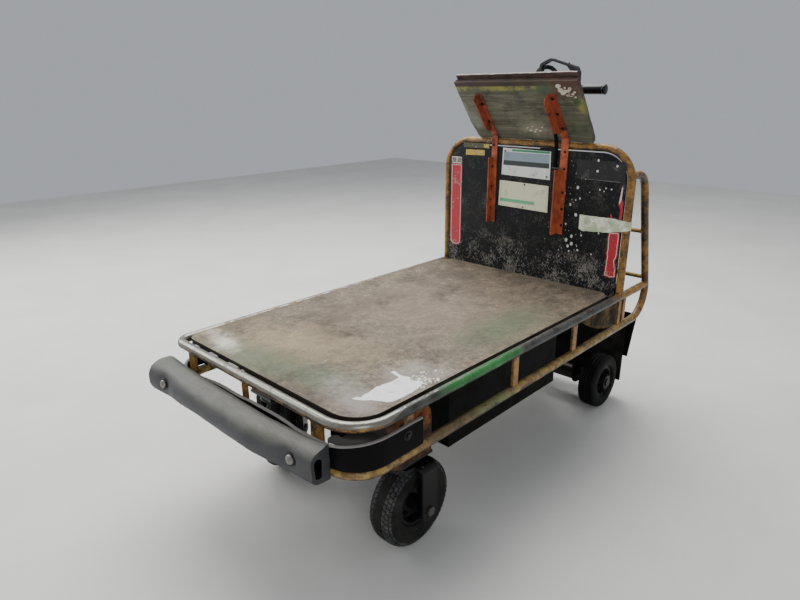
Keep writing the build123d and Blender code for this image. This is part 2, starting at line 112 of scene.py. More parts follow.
class Graph:
    """Adds nodes to one shader tree."""

    def __init__(self, tree):
        self.tree = tree

    def add(self, kind, inputs, **settings):
        node = self.tree.nodes.new(kind)
        for key, value in settings.items():
            setattr(node, key, value)
        for key, value in inputs.items():
            plug(self.tree, value, node.inputs[key])
        return node

    def value(self, kind, output, inputs, **settings):
        """One output of a new node."""
        return Value(self, self.add(kind, inputs, **settings).outputs[output])

    def math(self, operation, *values):
        return self.value("ShaderNodeMath", 0, dict(enumerate(values)), operation=operation)

    def vector(self, operation, *values):
        output = "Value" if operation in ("LENGTH", "DOT_PRODUCT") else "Vector"
        return self.value("ShaderNodeVectorMath", output, dict(enumerate(values)), operation=operation)

    def mix(self, factor, a, b):
        return self.value("ShaderNodeMix", 2, {0: factor, 6: a, 7: b}, data_type="RGBA")

    def ramp(self, value, low, high, out_low=0.0, out_high=1.0):
        """A smooth step of a value between two levels."""
        inputs = {"Value": value, "From Min": low, "From Max": high, "To Min": out_low, "To Max": out_high}
        return self.value("ShaderNodeMapRange", 0, inputs, interpolation_type="SMOOTHSTEP")

    def blend(self, mask, a, b):
        """A number that goes from one value to another with a mask."""
        return self.ramp(mask, 0.0, 1.0, a, b)

    def window(self, value, low, high, soft):
        """A mask that is 1 while a value lies between two levels, with soft ends."""
        return self.ramp(value, low - soft, low + soft) * self.ramp(value, high - soft, high + soft, 1.0, 0.0)

    def noise(self, scale, detail, roughness=0.6, distortion=0.0, vector=None):
        return self.value("ShaderNodeTexNoise", "Fac",
                          {"Vector": vector or self.place(), "Scale": scale, "Detail": detail,
                           "Roughness": roughness, "Distortion": distortion})

    def clouds(self, scale, detail, low, high, a, b, roughness=0.6):
        """A colour with soft clouds of another."""
        return self.mix(self.ramp(self.noise(scale, detail, roughness), low, high), a, b)

    def place(self):
        return self.value("ShaderNodeTexCoord", "Object", {})

    def along(self, axis):
        """The coordinate along an axis."""
        return self.vector("DOT_PRODUCT", self.place(), axis)

    def facing(self, axis):
        """How far the surface faces along an axis, from -1 to 1."""
        return self.vector("DOT_PRODUCT", self.value("ShaderNodeNewGeometry", "Normal", {}), axis)

    def group(self, name, **inputs):
        """The outputs of a shader group, by name."""
        node = self.add("ShaderNodeGroup", inputs, node_tree=bpy.data.node_groups[name])
        return {output.name: Value(self, output) for output in node.outputs}

    def worn(self, paint, undercoat, bare, cover, scale, rubbed=0.0):
        return self.group("worn paint", Paint=paint, Undercoat=undercoat, Bare=bare, Cover=cover, Scale=scale,
                          Rubbed=rubbed)

    def dirty(self, colour, dirt, amount, scale, below=0.0):
        return self.group("grime", Colour=colour, Dirt=dirt, Amount=amount, Scale=scale, Below=below)

    def grain(self, light, dark, stretch):
        return self.group("wood grain", Light=light, Dark=dark, Stretch=stretch)

    def marked(self, colour, marks, edge, breakup, scale):
        """A colour with marks on it, each given by its centre, size, turn, strength and colour."""
        for centre, size, turn, share, shade in marks:
            mark = self.group("patch", Centre=centre, Size=size, Turn=turn, Edge=edge, Breakup=breakup,
                              Scale=scale)
            colour = self.mix(mark["Mask"] * share, colour, shade)
        return colour


def shader_group(name, inputs, outputs):
    """A new group with its sockets. The decorated function fills it and returns its outputs by name."""
    kinds = {"colour": "NodeSocketColor", "value": "NodeSocketFloat", "vector": "NodeSocketVector"}
    tree = bpy.data.node_groups.new(name, "ShaderNodeTree")
    for label, (kind, default) in inputs.items():
        tree.interface.new_socket(label, in_out="INPUT", socket_type=kinds[kind]).default_value = default
    for label, kind in outputs.items():
        tree.interface.new_socket(label, in_out="OUTPUT", socket_type=kinds[kind])

    def fill(build):
        graph = Graph(tree)
        start = graph.add("NodeGroupInput", {})
        given = {label: Value(graph, start.outputs[label]) for label in inputs}
        graph.add("NodeGroupOutput", build(graph, given))
        return build

    return fill


@shader_group("worn paint",
              {"Paint": ("colour", GREY), "Undercoat": ("colour", GREY), "Bare": ("colour", GREY),
               "Cover": ("value", 0.6), "Scale": ("value", 60.0), "Rubbed": ("value", 0.0)},
              {"Colour": "colour", "Bare": "value", "Height": "value"})
def worn_paint(g, given):
    """Paint that has chipped off in clusters, with an edge of undercoat round each chip."""
    cover = given["Cover"]
    fine = g.noise(given["Scale"], 7.0, 0.68)
    broad = g.noise(given["Scale"] * 0.16, 3.0)
    level = fine * 0.55 + broad * 0.45 + given["Rubbed"] * 0.25
    edge = g.ramp(level, cover - 0.045, cover - 0.01)
    chip = g.ramp(level, cover - 0.004, cover + 0.014)
    colour = g.mix(chip, g.mix(edge, given["Paint"], given["Undercoat"]), given["Bare"])
    return {"Colour": colour, "Bare": chip, "Height": 1.0 - chip}


@shader_group("grime",
              {"Colour": ("colour", GREY), "Dirt": ("colour", GREY), "Amount": ("value", 0.4),
               "Scale": ("value", 9.0), "Below": ("value", 0.0)},
              {"Colour": "colour", "Mask": "value"})
def grime(g, given):
    """Dirt in soft clouds. Below over 0 gathers it on undersides, and under 0 on the tops."""
    clouds = g.noise(given["Scale"], 4.0) * 0.7 + g.noise(given["Scale"] * 9.0, 3.0) * 0.3
    level = clouds - g.facing(Z_AXIS) * (given["Below"] * 0.3)
    start = 0.86 - given["Amount"]
    mask = g.ramp(level, start - 0.16, start + 0.16)
    return {"Colour": g.mix(mask, given["Colour"], given["Dirt"]), "Mask": mask}


@shader_group("patch",
              {"Centre": ("vector", NONE), "Size": ("vector", ONES), "Turn": ("value", 0.0),
               "Edge": ("value", 0.3), "Breakup": ("value", 0.5), "Scale": ("value", 40.0)},
              {"Mask": "value"})
def patch(g, given):
    """A rounded area with a broken edge, at a place on the object. Turn is about Z."""
    away = g.vector("SUBTRACT", g.place(), given["Centre"])
    turned = g.value("ShaderNodeVectorRotate", 0, {"Vector": away, "Angle": given["Turn"]},
                     rotation_type="Z_AXIS")
    reach = g.vector("LENGTH", g.vector("DIVIDE", turned, given["Size"]))
    rough = (g.noise(given["Scale"], 6.0, 0.7) - 0.5) * given["Breakup"]
    return {"Mask": g.ramp(reach + rough * 2.0, 1.0 - given["Edge"], given["Edge"] + 1.0, 1.0, 0.0)}


@shader_group("wood grain",
              {"Light": ("colour", GREY), "Dark": ("colour", GREY), "Stretch": ("vector", ONES)},
              {"Colour": "colour", "Height": "value"})
def wood_grain(g, given):
    """Fibres that run along the axis on which Stretch is small."""
    place = g.vector("MULTIPLY", g.place(), given["Stretch"])
    level = g.noise(1.0, 4.0, 0.55, 0.8, place) * 0.6 + g.noise(6.0, 6.0, 0.75, 0.2, place) * 0.4
    return {"Colour": g.mix(g.ramp(level, 0.36, 0.64), given["Dark"], given["Light"]), "Height": level}


@shader_group("specks",
              {"Scale": ("value", 60.0), "Share": ("value", 0.2), "Radius": ("value", 0.3)},
              {"Mask": "value"})
def specks(g, given):
    """Drops and flakes: a share of the cells of a random pattern hold one each."""
    cells = g.add("ShaderNodeTexVoronoi", {"Vector": g.place(), "Scale": given["Scale"], "Randomness": 1.0})
    dice = Value(g, cells.outputs["Color"])
    chosen = g.math("LESS_THAN", g.vector("DOT_PRODUCT", dice, X_AXIS), given["Share"])
    size = given["Radius"] * (g.vector("DOT_PRODUCT", dice, (0.0, 0.65, 0.0)) + 0.35)
    edge = Value(g, cells.outputs["Distance"]) + (g.noise(300.0, 2.0) - 0.5) * 0.12
    return {"Mask": chosen * g.ramp(edge, size, size * 1.15, 1.0, 0.0)}


@shader_group("scratches",
              {"Stretch": ("vector", ONES), "Axis": ("vector", Z_AXIS), "Turn": ("value", 0.0),
               "Share": ("value", 0.3), "Spread": ("value", 8.0)},
              {"Mask": "value"})
def scratches(g, given):
    """Thin lines along the axis on which Stretch is small, more in some areas than in others.

    Turn turns them about Axis."""
    turned = g.value("ShaderNodeVectorRotate", 0,
                     {"Vector": g.place(), "Axis": given["Axis"], "Angle": given["Turn"]},
                     rotation_type="AXIS_ANGLE")
    line = g.noise(1.0, 3.0, 0.5, vector=g.vector("MULTIPLY", turned, given["Stretch"]))
    level = line + g.noise(given["Spread"], 3.0) * 0.5
    start = 1.0 - given["Share"]
    return {"Mask": g.ramp(level, start, start + 0.05)}


def surface(name, build):
    """A material. Build returns the inputs of its Principled shader, and Height and Bump for its relief."""
    material = bpy.data.materials.new(name)
    material.use_nodes = True
    material.node_tree.nodes.clear()
    g = Graph(material.node_tree)
    values = build(g)
    if "Height" in values:
        strength, distance = values.pop("Bump")
        bump = {"Height": values.pop("Height"), "Strength": strength, "Distance": distance}
        values["Normal"] = g.value("ShaderNodeBump", 0, bump)
    g.add("ShaderNodeOutputMaterial", {0: g.value("ShaderNodeBsdfPrincipled", 0, values)})
    return material


def rail_surface(name, cover, bare_top, coats=(), front_bare=0.0, light=OCHRE, dark=OCHRE_DARK,
                 dull_steel=STEEL, coated=0.0):
    """Tube paint: chipped ochre, rubbed to steel on top, with coats of other colours along the right side.

    A coat is its low and high Y, its strength and its two colours."""
    def build(g):
        side = g.ramp(g.along(X_AXIS), 0.30, 0.36)
        ahead = g.ramp(g.along(Y_AXIS), -0.62, -0.54, 1.0, 0.0)
        front = ahead * front_bare
        paint = g.clouds(40.0, 6.0, 0.40, 0.58, dark, light, 0.7)
        along = g.along(Y_AXIS) + (g.noise(14.0, 3.0) - 0.5) * 0.125
        for low, high, strength, shade_a, shade_b in coats:
            over = side * strength * g.window(along, low, high, 0.05)
            paint = g.mix(over, paint, g.clouds(22.0, 4.0, 0.30, 0.70, shade_a, shade_b))
        raised = g.facing(Z_AXIS) + front * 1.9 - side * (coated * 2.6) * (1.0 - ahead)
        rubbed = g.ramp(raised, 0.66, 0.92) * (front + bare_top)
        worn = g.worn(paint, RUST, "2C221C", cover - front * 0.2 + side * coated, 170.0)
        metal = g.mix(ahead, dull_steel, STEEL)
        steel = g.worn(worn["Colour"], "5F574B", metal, 0.62, 190.0, rubbed)
        dirty = g.dirty(steel["Colour"], SOOT, 0.28, 18.0, 0.9)
        return {"Base Color": dirty["Colour"], "Metallic": steel["Bare"] * 0.8, "Specular IOR Level": 0.45,
                "Roughness": g.blend(steel["Bare"], 0.38, 0.28),
                "Height": worn["Height"] * 0.6 + steel["Height"] * 0.4, "Bump": (0.6, 0.0008)}
    return surface(name, build)


# Marks on the deck and on the desk: centre, size, turn, strength and colour
DECK_MARKS = (
    ((-0.12, -0.50, 0.52), (0.26, 0.12, 1.0), -0.4, 0.45, "A89674"),
    ((0.02, 0.02, 0.52), (0.30, 0.30, 1.0), 0.0, 0.30, "A2917C"),
    ((-0.10, -0.625, 0.52), (0.18, 0.055, 1.0), -0.1, 0.65, "54674B"),
    ((0.14, -0.575, 0.52), (0.10, 0.055, 1.0), 0.0, 0.50, "64745A"),
    ((0.27, 0.02, 0.52), (0.07, 0.20, 1.0), 0.0, 0.55, "54684B"),
    ((-0.275, -0.622, 0.52), (0.080, 0.028, 1.0), 0.2, 0.85, "CFCAB8"),
    ((0.31, -0.41, 0.52), (0.07, 0.10, 1.0), 0.0, 0.40, "BDB8AC"),
    ((0.27, -0.60, 0.52), (0.10, 0.05, 1.0), 0.3, 0.45, "B5AFA6"),
)
DESK_MARKS = (
    ((0.20, 0.41, 1.216), (0.075, 0.2, 0.030), 0.0, 0.85, "5B3F33"),
    ((0.125, 0.41, 1.213), (0.035, 0.2, 0.020), 0.0, 0.80, "4A5C47"),
    ((0.242, 0.45, 1.160), (0.014, 0.2, 0.022), 0.0, 0.80, "96924A"),
    ((0.228, 0.45, 1.176), (0.014, 0.2, 0.014), 0.0, 0.90, "3D5633"),
    ((0.03, 0.50, 1.082), (0.060, 0.2, 0.020), 0.0, 0.55, "A09A86"),
    ((-0.262, 0.45, 1.150), (0.022, 0.2, 0.055), 0.0, 0.60, "8B9884"),
    ((-0.225, 0.48, 1.100), (0.030, 0.2, 0.030), 0.0, 0.45, "939A8C"),
)


def deck_surface(g):
    """Worn plywood: a fine speckled grain, stains, moss, pale wear and chalk near the front, with painted shade on
    its edges.
    """
    grain = g.grain("8B7D69", "5A5044", (24.0, 18.0, 24.0))
    fine = g.noise(130.0, 5.0, 0.7)
    stain = g.noise(3.6, 7.0, 0.66)
    spots = g.noise(48.0, 6.0, 0.72)
    colour = g.mix(g.ramp(fine, 0.42, 0.64, 0.0, 0.7), grain["Colour"], "4A4036")
    colour = g.mix(g.ramp(spots, 0.50, 0.64, 0.0, 0.45), colour, "4A4137")
    colour = g.mix(g.ramp(spots, 0.34, 0.44, 0.35, 0.0), colour, "A39784")
    colour = g.mix(g.ramp(stain, 0.44, 0.68, 0.0, 0.70), colour, "5A5045")
    colour = g.marked(colour, DECK_MARKS, 0.8, 0.9, 24.0)
    flakes = g.group("specks", Scale=34.0, Share=0.07, Radius=0.10)
    colour = g.mix(flakes["Mask"], colour, "C9C4BA")
    for turn, stretch in ((0.75, (160.0, 14.0, 10.0)), (-0.2, (150.0, 12.0, 10.0))):
        lines = g.group("scratches", Stretch=stretch, Turn=turn, Share=0.12, Spread=6.0)
        colour = g.mix(lines["Mask"] * 0.22, colour, "3C352E")
    dirty = g.dirty(colour, "40382F", 0.22, 8.0)
    # Painted shade: the board's edges and every face that does not look up go dark brown.
    rim = g.ramp(g.facing(Z_AXIS), 0.4, 0.8, 1.0, 0.0)
    return {"Base Color": g.mix(rim, dirty["Colour"], "241F1B"), "Specular IOR Level": 0.35,
            "Roughness": g.ramp(stain, 0.3, 0.7, 0.60, 0.85),
            "Height": grain["Height"] * 0.7 + fine * 0.3 + lines["Mask"] * -0.3, "Bump": (0.5, 0.0008)}


def panel_surface(g):
    """Black paint, scuffed and speckled towards the deck, with paint mist beside the wide bracket."""
    low = g.ramp(g.along(Z_AXIS), 0.53, 0.73, 1.0, 0.0)
    worn = g.worn("0F1114", "191817", "4E4842", 0.70, 430.0, low * 0.24)
    colour = worn["Colour"]
    for turn, stretch, share in ((0.5, (300.0, 20.0, 60.0), 0.17), (-0.4, (260.0, 20.0, 50.0), 0.17),
                                 (1.4, (260.0, 20.0, 60.0), 0.15)):
        lines = g.group("scratches", Stretch=stretch, Axis=Y_AXIS, Turn=turn, Share=share, Spread=16.0)
        colour = g.mix(lines["Mask"] * g.blend(low, 0.12, 0.75), colour, "807B74")
    dots = g.group("specks", Scale=170.0, Share=0.20, Radius=0.16)
    colour = g.mix(dots["Mask"] * g.blend(low, 0.25, 0.8), colour, "8C8984")
    flakes = g.group("specks", Scale=80.0, Share=0.18, Radius=0.20)
    field = g.group("patch", Centre=(0.165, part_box("backrest_panel")[0].y, 0.76), Size=(0.075, 1.0, 0.2),
                    Edge=0.5, Breakup=0.9, Scale=14.0)
    colour = g.mix(flakes["Mask"] * field["Mask"], colour, "C8C8CC")
    dirty = g.dirty(colour, "292522", 0.22, 12.0)
    return {"Base Color": dirty["Colour"], "Roughness": g.blend(low, 0.45, 0.7), "Specular IOR Level": 0.25,
            "Height": worn["Height"], "Bump": (0.35, 0.0005)}


def bracket_surface(g):
    """Orange-red paint, dark and rusty on the upper arms and paler down on the panel."""
    high = g.ramp(g.along(Z_AXIS), 0.98, 1.10)
    paint = g.clouds(30.0, 3.0, 0.3, 0.7, "8E4530", g.mix(high, "BE6440", "A8553C"))
    worn = g.worn(paint, "6A3626", "332722", g.blend(high, 0.625, 0.585), 130.0)
    dirty = g.dirty(worn["Colour"], SOOT, 0.20, 18.0, 0.4)
    return {"Base Color": dirty["Colour"], "Roughness": g.blend(dirty["Mask"], 0.5, 0.75),
            "Specular IOR Level": 0.3, "Height": worn["Height"], "Bump": (0.4, 0.0005)}


def beam_surface(g):
    """Rusty orange at the beam's ends; near-black over the rest, partly black paint and dirt and partly painted
    shade.
    """
    out = g.math("ABSOLUTE", g.along(X_AXIS)) + (g.noise(30.0, 4.0) - 0.5) * 0.05
    rusty = g.clouds(34.0, 4.0, 0.35, 0.65, "4A2414", "8A5426")
    # Away from the ends the beam is near-black: partly black paint and dirt, partly painted shade.
    worn = g.worn(g.mix(g.ramp(out, 0.295, 0.32), "121112", rusty), "231712", "33241B", 0.58, 110.0)
    dirty = g.dirty(worn["Colour"], SOOT, 0.34, 16.0, 0.5)
    return {"Base Color": dirty["Colour"], "Roughness": 0.65, "Specular IOR Level": 0.25,
            "Height": worn["Height"], "Bump": (0.5, 0.0006)}


def bearer_surface(g):
    """Black flat bars whose front lugs are grey with concrete dust."""
    front = g.ramp(g.along(Y_AXIS), -0.63, -0.61, 1.0, 0.0)
    dusty = g.clouds(60.0, 5.0, 0.35, 0.65, "7F7D78", "B4B2AC")
    dirty = g.dirty(g.mix(front, "131313", dusty), SOOT, 0.25, 30.0)
    return {"Base Color": dirty["Colour"], "Roughness": 0.75}


def belt_surface(g):
    """Grey belt rubber, paler and olive on top with dust, darker in front and on its end faces, and near-black
    beneath as painted shade.
    """
    mottle = g.ramp(g.noise(16.0, 7.0, 0.7), 0.32, 0.70)
    up = g.facing(Z_AXIS) + (mottle - 0.5) * 0.12
    colour = g.mix(g.ramp(up, 0.0, 0.95, 0.0, 0.65), g.mix(mottle, "3D3F41", "4B4D4F"), "646259")
    # Painted shade: faces that turn downwards go near-black.
    colour = g.mix(g.ramp(up, -0.55, -0.05, 0.7, 0.0), colour, "151617")
    # Faces that look along X, the belt's ends, are darker.
    colour = g.mix(g.ramp(g.math("ABSOLUTE", g.facing(X_AXIS)), 0.5, 0.8), colour, "2E2F31")
    dirty = g.dirty(colour, "6E6D66", 0.08, 34.0, -0.4)
    lines = g.group("scratches", Stretch=(18.0, 260.0, 260.0), Turn=0.15, Share=0.16, Spread=9.0)
    return {"Base Color": g.mix(lines["Mask"] * 0.22, dirty["Colour"], "1E1F20"), "Specular IOR Level": 0.4,
            "Roughness": g.blend(mottle, 0.48, 0.66),
            "Height": g.noise(240.0, 5.0, 0.7) * 0.5 + mottle * 0.5, "Bump": (0.3, 0.0005)}


def desk_surface(g):
    """Weathered grey-green plywood with moss along its upper edge and brown glue at the corner."""
    wood = g.grain("797664", "4B4B3F", (4.0, 70.0, 70.0))
    fine = g.noise(150.0, 5.0, 0.7)
    colour = g.mix(g.ramp(fine, 0.45, 0.7, 0.0, 0.45), wood["Colour"], "4B4A40")
    colour = g.mix(g.ramp(g.noise(8.0, 5.0), 0.46, 0.66, 0.0, 0.55), colour, "57604A")
    broken = g.ramp(g.noise(26.0, 5.0, 0.7), 0.40, 0.56)
    edge = g.ramp(g.along(Z_AXIS), 1.204, 1.215) * g.ramp(g.along(X_AXIS), 0.08, 0.15, 1.0, 0.0)
    colour = g.mix(edge * broken, colour, "8C8A46")
    colour = g.mix(g.ramp(g.along(Z_AXIS), 1.2235, 1.2255), colour, "453630")
    dirty = g.dirty(g.marked(colour, DESK_MARKS, 0.6, 1.3, 42.0), "2F3028", 0.24, 18.0)
    return {"Base Color": dirty["Colour"], "Roughness": g.ramp(wood["Height"], 0.3, 0.7, 0.9, 0.7),
            "Height": wood["Height"] * 0.7 + fine * 0.3, "Bump": (0.6, 0.001)}


def lid_surface(g):
    """Dark brown-red board with a pale worn upper end."""
    wood = g.grain("5E433A", "33231E", (8.0, 60.0, 60.0))
    dirty = g.dirty(wood["Colour"], "241C19", 0.3, 20.0)
    end = g.ramp(g.facing(Z_AXIS), 0.60, 0.72) * g.ramp(g.facing(Z_AXIS), 0.90, 0.84)
    pale = g.clouds(60.0, 4.0, 0.3, 0.7, "8B7B76", "B9ADA8")
    return {"Base Color": g.mix(end, dirty["Colour"], pale), "Roughness": 0.7,
            "Height": wood["Height"], "Bump": (0.5, 0.0008)}


def ply_surface(g):
    """The darker layers on a plywood edge."""
    wood = g.grain("5C4A38", "2F261D", (40.0, 40.0, 40.0))
    return {"Base Color": wood["Colour"], "Roughness": 0.85, "Height": wood["Height"], "Bump": (0.5, 0.0008)}


def tape_surface(g):
    """Pale green tape, yellowed in clouds, with its threads across it."""
    weave = g.noise(1.0, 4.0, vector=g.vector("MULTIPLY", g.place(), (40.0, 40.0, 420.0)))
    colour = g.clouds(20.0, 4.0, 0.44, 0.60, "B9C7A0", "F0EEDC")
    colour = g.mix(g.ramp(weave, 0.52, 0.66, 0.0, 0.5), colour, "9FAA84")
    dirty = g.dirty(colour, "6E6A58", 0.22, 30.0)
    return {"Base Color": dirty["Colour"], "Roughness": 0.55, "Height": weave, "Bump": (0.4, 0.0004)}


def floor_surface(g):
    return {"Base Color": g.clouds(2.0, 5.0, 0.3, 0.7, "D2D0CC", "DAD8D4"), "Roughness": 0.8}


def plain_paint(name, paint, undercoat, bare, cover=0.62, scale=90.0, dirt=0.3, rough=0.5, coat=0.0,
                shine=0.3):
    """Chipped and dirty paint on a small part."""
    def build(g):
        tone = g.clouds(30.0, 3.0, 0.3, 0.7, tint(paint, 0.72), paint)
        worn = g.worn(tone, undercoat, bare, cover, scale)
        dirty = g.dirty(worn["Colour"], SOOT, dirt, 14.0, 0.4)
        return {"Base Color": dirty["Colour"], "Coat Weight": coat, "Specular IOR Level": shine,
                "Roughness": g.blend(dirty["Mask"], rough, rough + 0.25),
                "Height": worn["Height"], "Bump": (0.4, 0.0005)}
    return surface(name, build)


def rubber(name, colour, dust, amount=0.35, rough=0.62, below=-0.7, shine=0.25):
    """Rubber with dust on its upper sides and a fine skin."""
    def build(g):
        blotch = g.clouds(11.0, 5.0, 0.35, 0.7, colour, tint(colour, 1.35))
        dirty = g.dirty(blotch, dust, amount, 18.0, below)
        return {"Base Color": dirty["Colour"], "Specular IOR Level": shine,
                "Roughness": g.blend(dirty["Mask"], rough, 0.85),
                "Height": g.noise(260.0, 5.0, 0.7), "Bump": (0.25, 0.0004)}
    return surface(name, build)


def steel(name, colour, rough):
    """Dull plated steel with fine stains."""
    def build(g):
        stain = g.noise(140.0, 5.0, 0.7)
        dirty = g.dirty(colour, "4A3B2E", 0.3, 60.0)
        return {"Base Color": dirty["Colour"], "Metallic": g.blend(dirty["Mask"], 0.9, 0.2),
                "Roughness": g.ramp(stain, 0.3, 0.7, rough, rough + 0.25),
                "Height": stain, "Bump": (0.2, 0.0002)}
    return surface(name, build)


def smooth_plastic(name, colour, rough, shine=0.5, dust=0.16):
    def build(g):
        marks = g.noise(200.0, 4.0)
        dirty = g.dirty(colour, "3A3835", dust, 40.0, -0.4)
        return {"Base Color": dirty["Colour"], "Specular IOR Level": shine,
                "Roughness": g.ramp(marks, 0.3, 0.7, rough, rough + 0.15),
                "Height": marks, "Bump": (0.08, 0.0002)}
    return surface(name, build)


def printed(name, base, bands=(), wear=0.62, rough=0.35, under="A8A398"):
    """A blank sign or label, chipped and dirty.

    A band is its low and high Z, its left and right X, and its colour."""
    edge = 0.0006

    def build(g):
        colour = base
        for low, high, left, right, shade in bands:
            inside = g.window(g.along(Z_AXIS), low, high, edge) * g.window(g.along(X_AXIS), left, right, edge)
            colour = g.mix(inside, colour, shade)
        worn = g.worn(colour, under, "3C3B38", wear, 130.0)
        dirty = g.dirty(worn["Colour"], "4A463E", 0.18, 30.0)
        return {"Base Color": dirty["Colour"], "Roughness": g.blend(dirty["Mask"], rough, 0.7),
                "Height": worn["Height"], "Bump": (0.3, 0.0003)}
    return surface(name, build)


# Near-black rubber for the strip and the strap, and painted shade inside the belt's hollow.
DARK_RUBBER_AND_SHADE = rubber("dark rubber and painted shade", "08080A", "1F1E1C", 0.14, 0.55, shine=0.08)
# Paler rubber for the strip's upper edge: a painted highlight, with dust.
STRIP_EDGE_HIGHLIGHT = rubber("rubber edge highlight", "5B5957", "8C8883", 0.45, 0.55)
FLAP_GREY = rubber("grey flap", "242426", "4A4845", 0.50, 0.7)
TREAD = rubber("tread blocks", "26282A", "5C5C59", 0.34, 0.6, -0.1, 0.15)
PLY_DARK = surface("plywood layers", ply_surface)
AXLE_STEEL = steel("axle steel", "6A6864", 0.5)
REAR_TYRE_RUBBER = rubber("rear tyre rubber", "0C0C0D", "292825", 0.28, 0.6, -0.2, 0.12)
UPPER_COATS = ((-0.62, 0.53, 1.0, "26231F", "4A4B49"), (-0.43, -0.08, 1.0, "25652C", "387F3C"))
LOWER_COATS = ((-0.50, -0.26, 0.85, "3F3524", "6B5A3A"), (-0.29, -0.10, 0.75, "4E6238", "728052"))
# By node, or else by the node's material slot
MATERIALS = {
    "upper_rail": rail_surface("upper rail paint", 0.60, 0.55, UPPER_COATS, 0.35, dull_steel="7F807C",
                               coated=0.06),
    "lower_rail": rail_surface("lower rail paint", 0.60, 0.22, LOWER_COATS, 0.0, "A88A4C", "6E5630",
                               "8A7A55"),
    "rail_posts": rail_surface("post paint", 0.575, 0.0),
    "deck_bearers": surface("bearer black", bearer_surface),
    "left_castor_axle": AXLE_STEEL,
    "right_castor_axle": AXLE_STEEL,
    "left_rear_tyre": REAR_TYRE_RUBBER,
    "right_rear_tyre": REAR_TYRE_RUBBER,
    "rail_paint": rail_surface("hoop paint", 0.585, 0.15),
    "deck_wood": surface("deck wood", deck_surface),
    "frame_black": plain_paint("frame black", "0B0B0C", "14110F", "1F1915", 0.6, rough=0.6, shine=0.1),
    "castor_orange": surface("beam orange", beam_surface),
    "battery_case": smooth_plastic("battery case", "0B0B0C", 0.5, 0.12),
    # Drive cover: yellow paint, made darker and duller as painted shade.
    "cover_yellow": plain_paint("cover yellow", "8E6A2A", "5A4020", "2A221A", 0.59, dirt=0.4),
    "drive_metal": plain_paint("greasy iron", "1C1A19", "171411", "33302C", 0.6, rough=0.4),
    "guard_rubber": rubber("guard rubber", "131313", "302E2B", 0.30, shine=0.1),
    "panel_black": surface("panel black", panel_surface),
    "desk_ply": surface("desk plywood", desk_surface),
    "desk_lid": surface("desk lid", lid_surface),
    "bracket_orange": surface("bracket orange", bracket_surface),
    "handle_black": plain_paint("handle black", "141417", "242220", "4A4745", 0.64),
    "grip_black": smooth_plastic("grip black", "05050A", 0.12, 0.4, 0.02),
    "bow_strap": smooth_plastic("bow strap", "1B1C20", 0.45),
    "belt_rubber": surface("belt rubber", belt_surface),
    "bolt_steel": steel("bolt steel", "969591", 0.42),
    "castor_dark": plain_paint("castor dark", "0A0A0B", "161310", "7B7872", 0.655, 60.0, 0.2, 0.34, 0.1, 0.2),
    "rim_dark": plain_paint("rim dark", "161618", "242019", "4A4743", 0.625, 150.0),
    "tyre_black": rubber("tyre rubber", "101112", "33332F", 0.34, 0.6, -0.2, 0.15),
}

slot_of = {row["node"]: row["material_slot"] for row in frame["record"]["subparts"]}
for node_name, node in nodes.items():
    node.data.materials.clear()
    node.data.materials.append(MATERIALS.get(node_name, MATERIALS[slot_of[node_name]]))


def at(x, y, z):
    """A point given in mm, with Y from the backrest's plane, in the shared frame."""
    return Vector((x * MM, y * MM + BACK, z * MM))


def swing(x, y, z=0.0, seed=0.0):
    """A smooth random value between -1 and 1."""
    return noise.noise(Vector((x + seed, y + seed * 1.7, z - seed)))


def ray(r, degrees):
    """A point at a distance from zero, in a direction."""
    return Vector((r * math.cos(math.radians(degrees)), r * math.sin(math.radians(degrees))))


def inset(outline, amount):
    """An anticlockwise outline of (u, v), moved inwards."""
    moved = []
    for before, here, after in zip(outline[-1:] + outline[:-1], outline, outline[1:] + outline[:1]):
        a = (Vector(here) - Vector(before)).normalized()
        b = (Vector(after) - Vector(here)).normalized()
        normal = Vector((-(a.y + b.y), a.x + b.x)).normalized()
        moved.append(Vector(here) + normal * (amount / max(0.5, normal.dot(Vector((-a.y, a.x))))))
    return moved


def ragged(corners, step, amount, seed):
    """An outline through its corners, with points between them moved at random."""
    dice = random.Random(seed)
    points = []
    for a, b in zip(corners, corners[1:] + corners[:1]):
        a, b = Vector(a), Vector(b)
        count = max(1, round((b - a).length / step))
        across = Vector((-(b - a).y, (b - a).x)).normalized()
        for i in range(count):
            shift = dice.uniform(-amount, amount) if i else 0.0
            points.append(a.lerp(b, i / count) + across * shift)
    return points


def rounded_box(u0, v0, u1, v1, radii, arc=8, run=5):
    """Points round a rectangle, anticlockwise from its low left corner, with a radius for each corner."""
    corners = ((u0, v0, 1, 1, 180), (u1, v0, -1, 1, 270), (u1, v1, -1, -1, 0), (u0, v1, 1, -1, 90))
    arcs = []
    for (u, v, su, sv, start), r in zip(corners, radii):
        centre = Vector((u + su * r, v + sv * r))
        arcs.append([centre + ray(r, start + 90 * k / arc) for k in range(arc + 1)])
    points = []
    for here, after in zip(arcs, arcs[1:] + arcs[:1]):
        points += here
        points += [here[-1].lerp(after[0], k / (run + 1)) for k in range(1, run + 1)]
    return points


def circle(r, steps):
    return [ray(r, 360 * k / steps) for k in range(steps)]


def corner_path(x, y, r, start, stop, steps=14):
    """Points of an arc in plan about a centre, in mm."""
    return [Vector((x, y)) + ray(r, start + (stop - start) * k / steps) for k in range(steps + 1)]


def soft_path(control, steps=4, rounds=4):
    """A path through control points with its corners eased."""
    path = []
    for a, b in zip(control, control[1:]):
        path += [a.lerp(b, k / steps) for k in range(steps)]
    path.append(control[-1])
    for _ in range(rounds):
        inner = [(a + b * 2 + c) / 4 for a, b, c in zip(path, path[1:], path[2:])]
        path = [path[0]] + inner + [path[-1]]
    return path


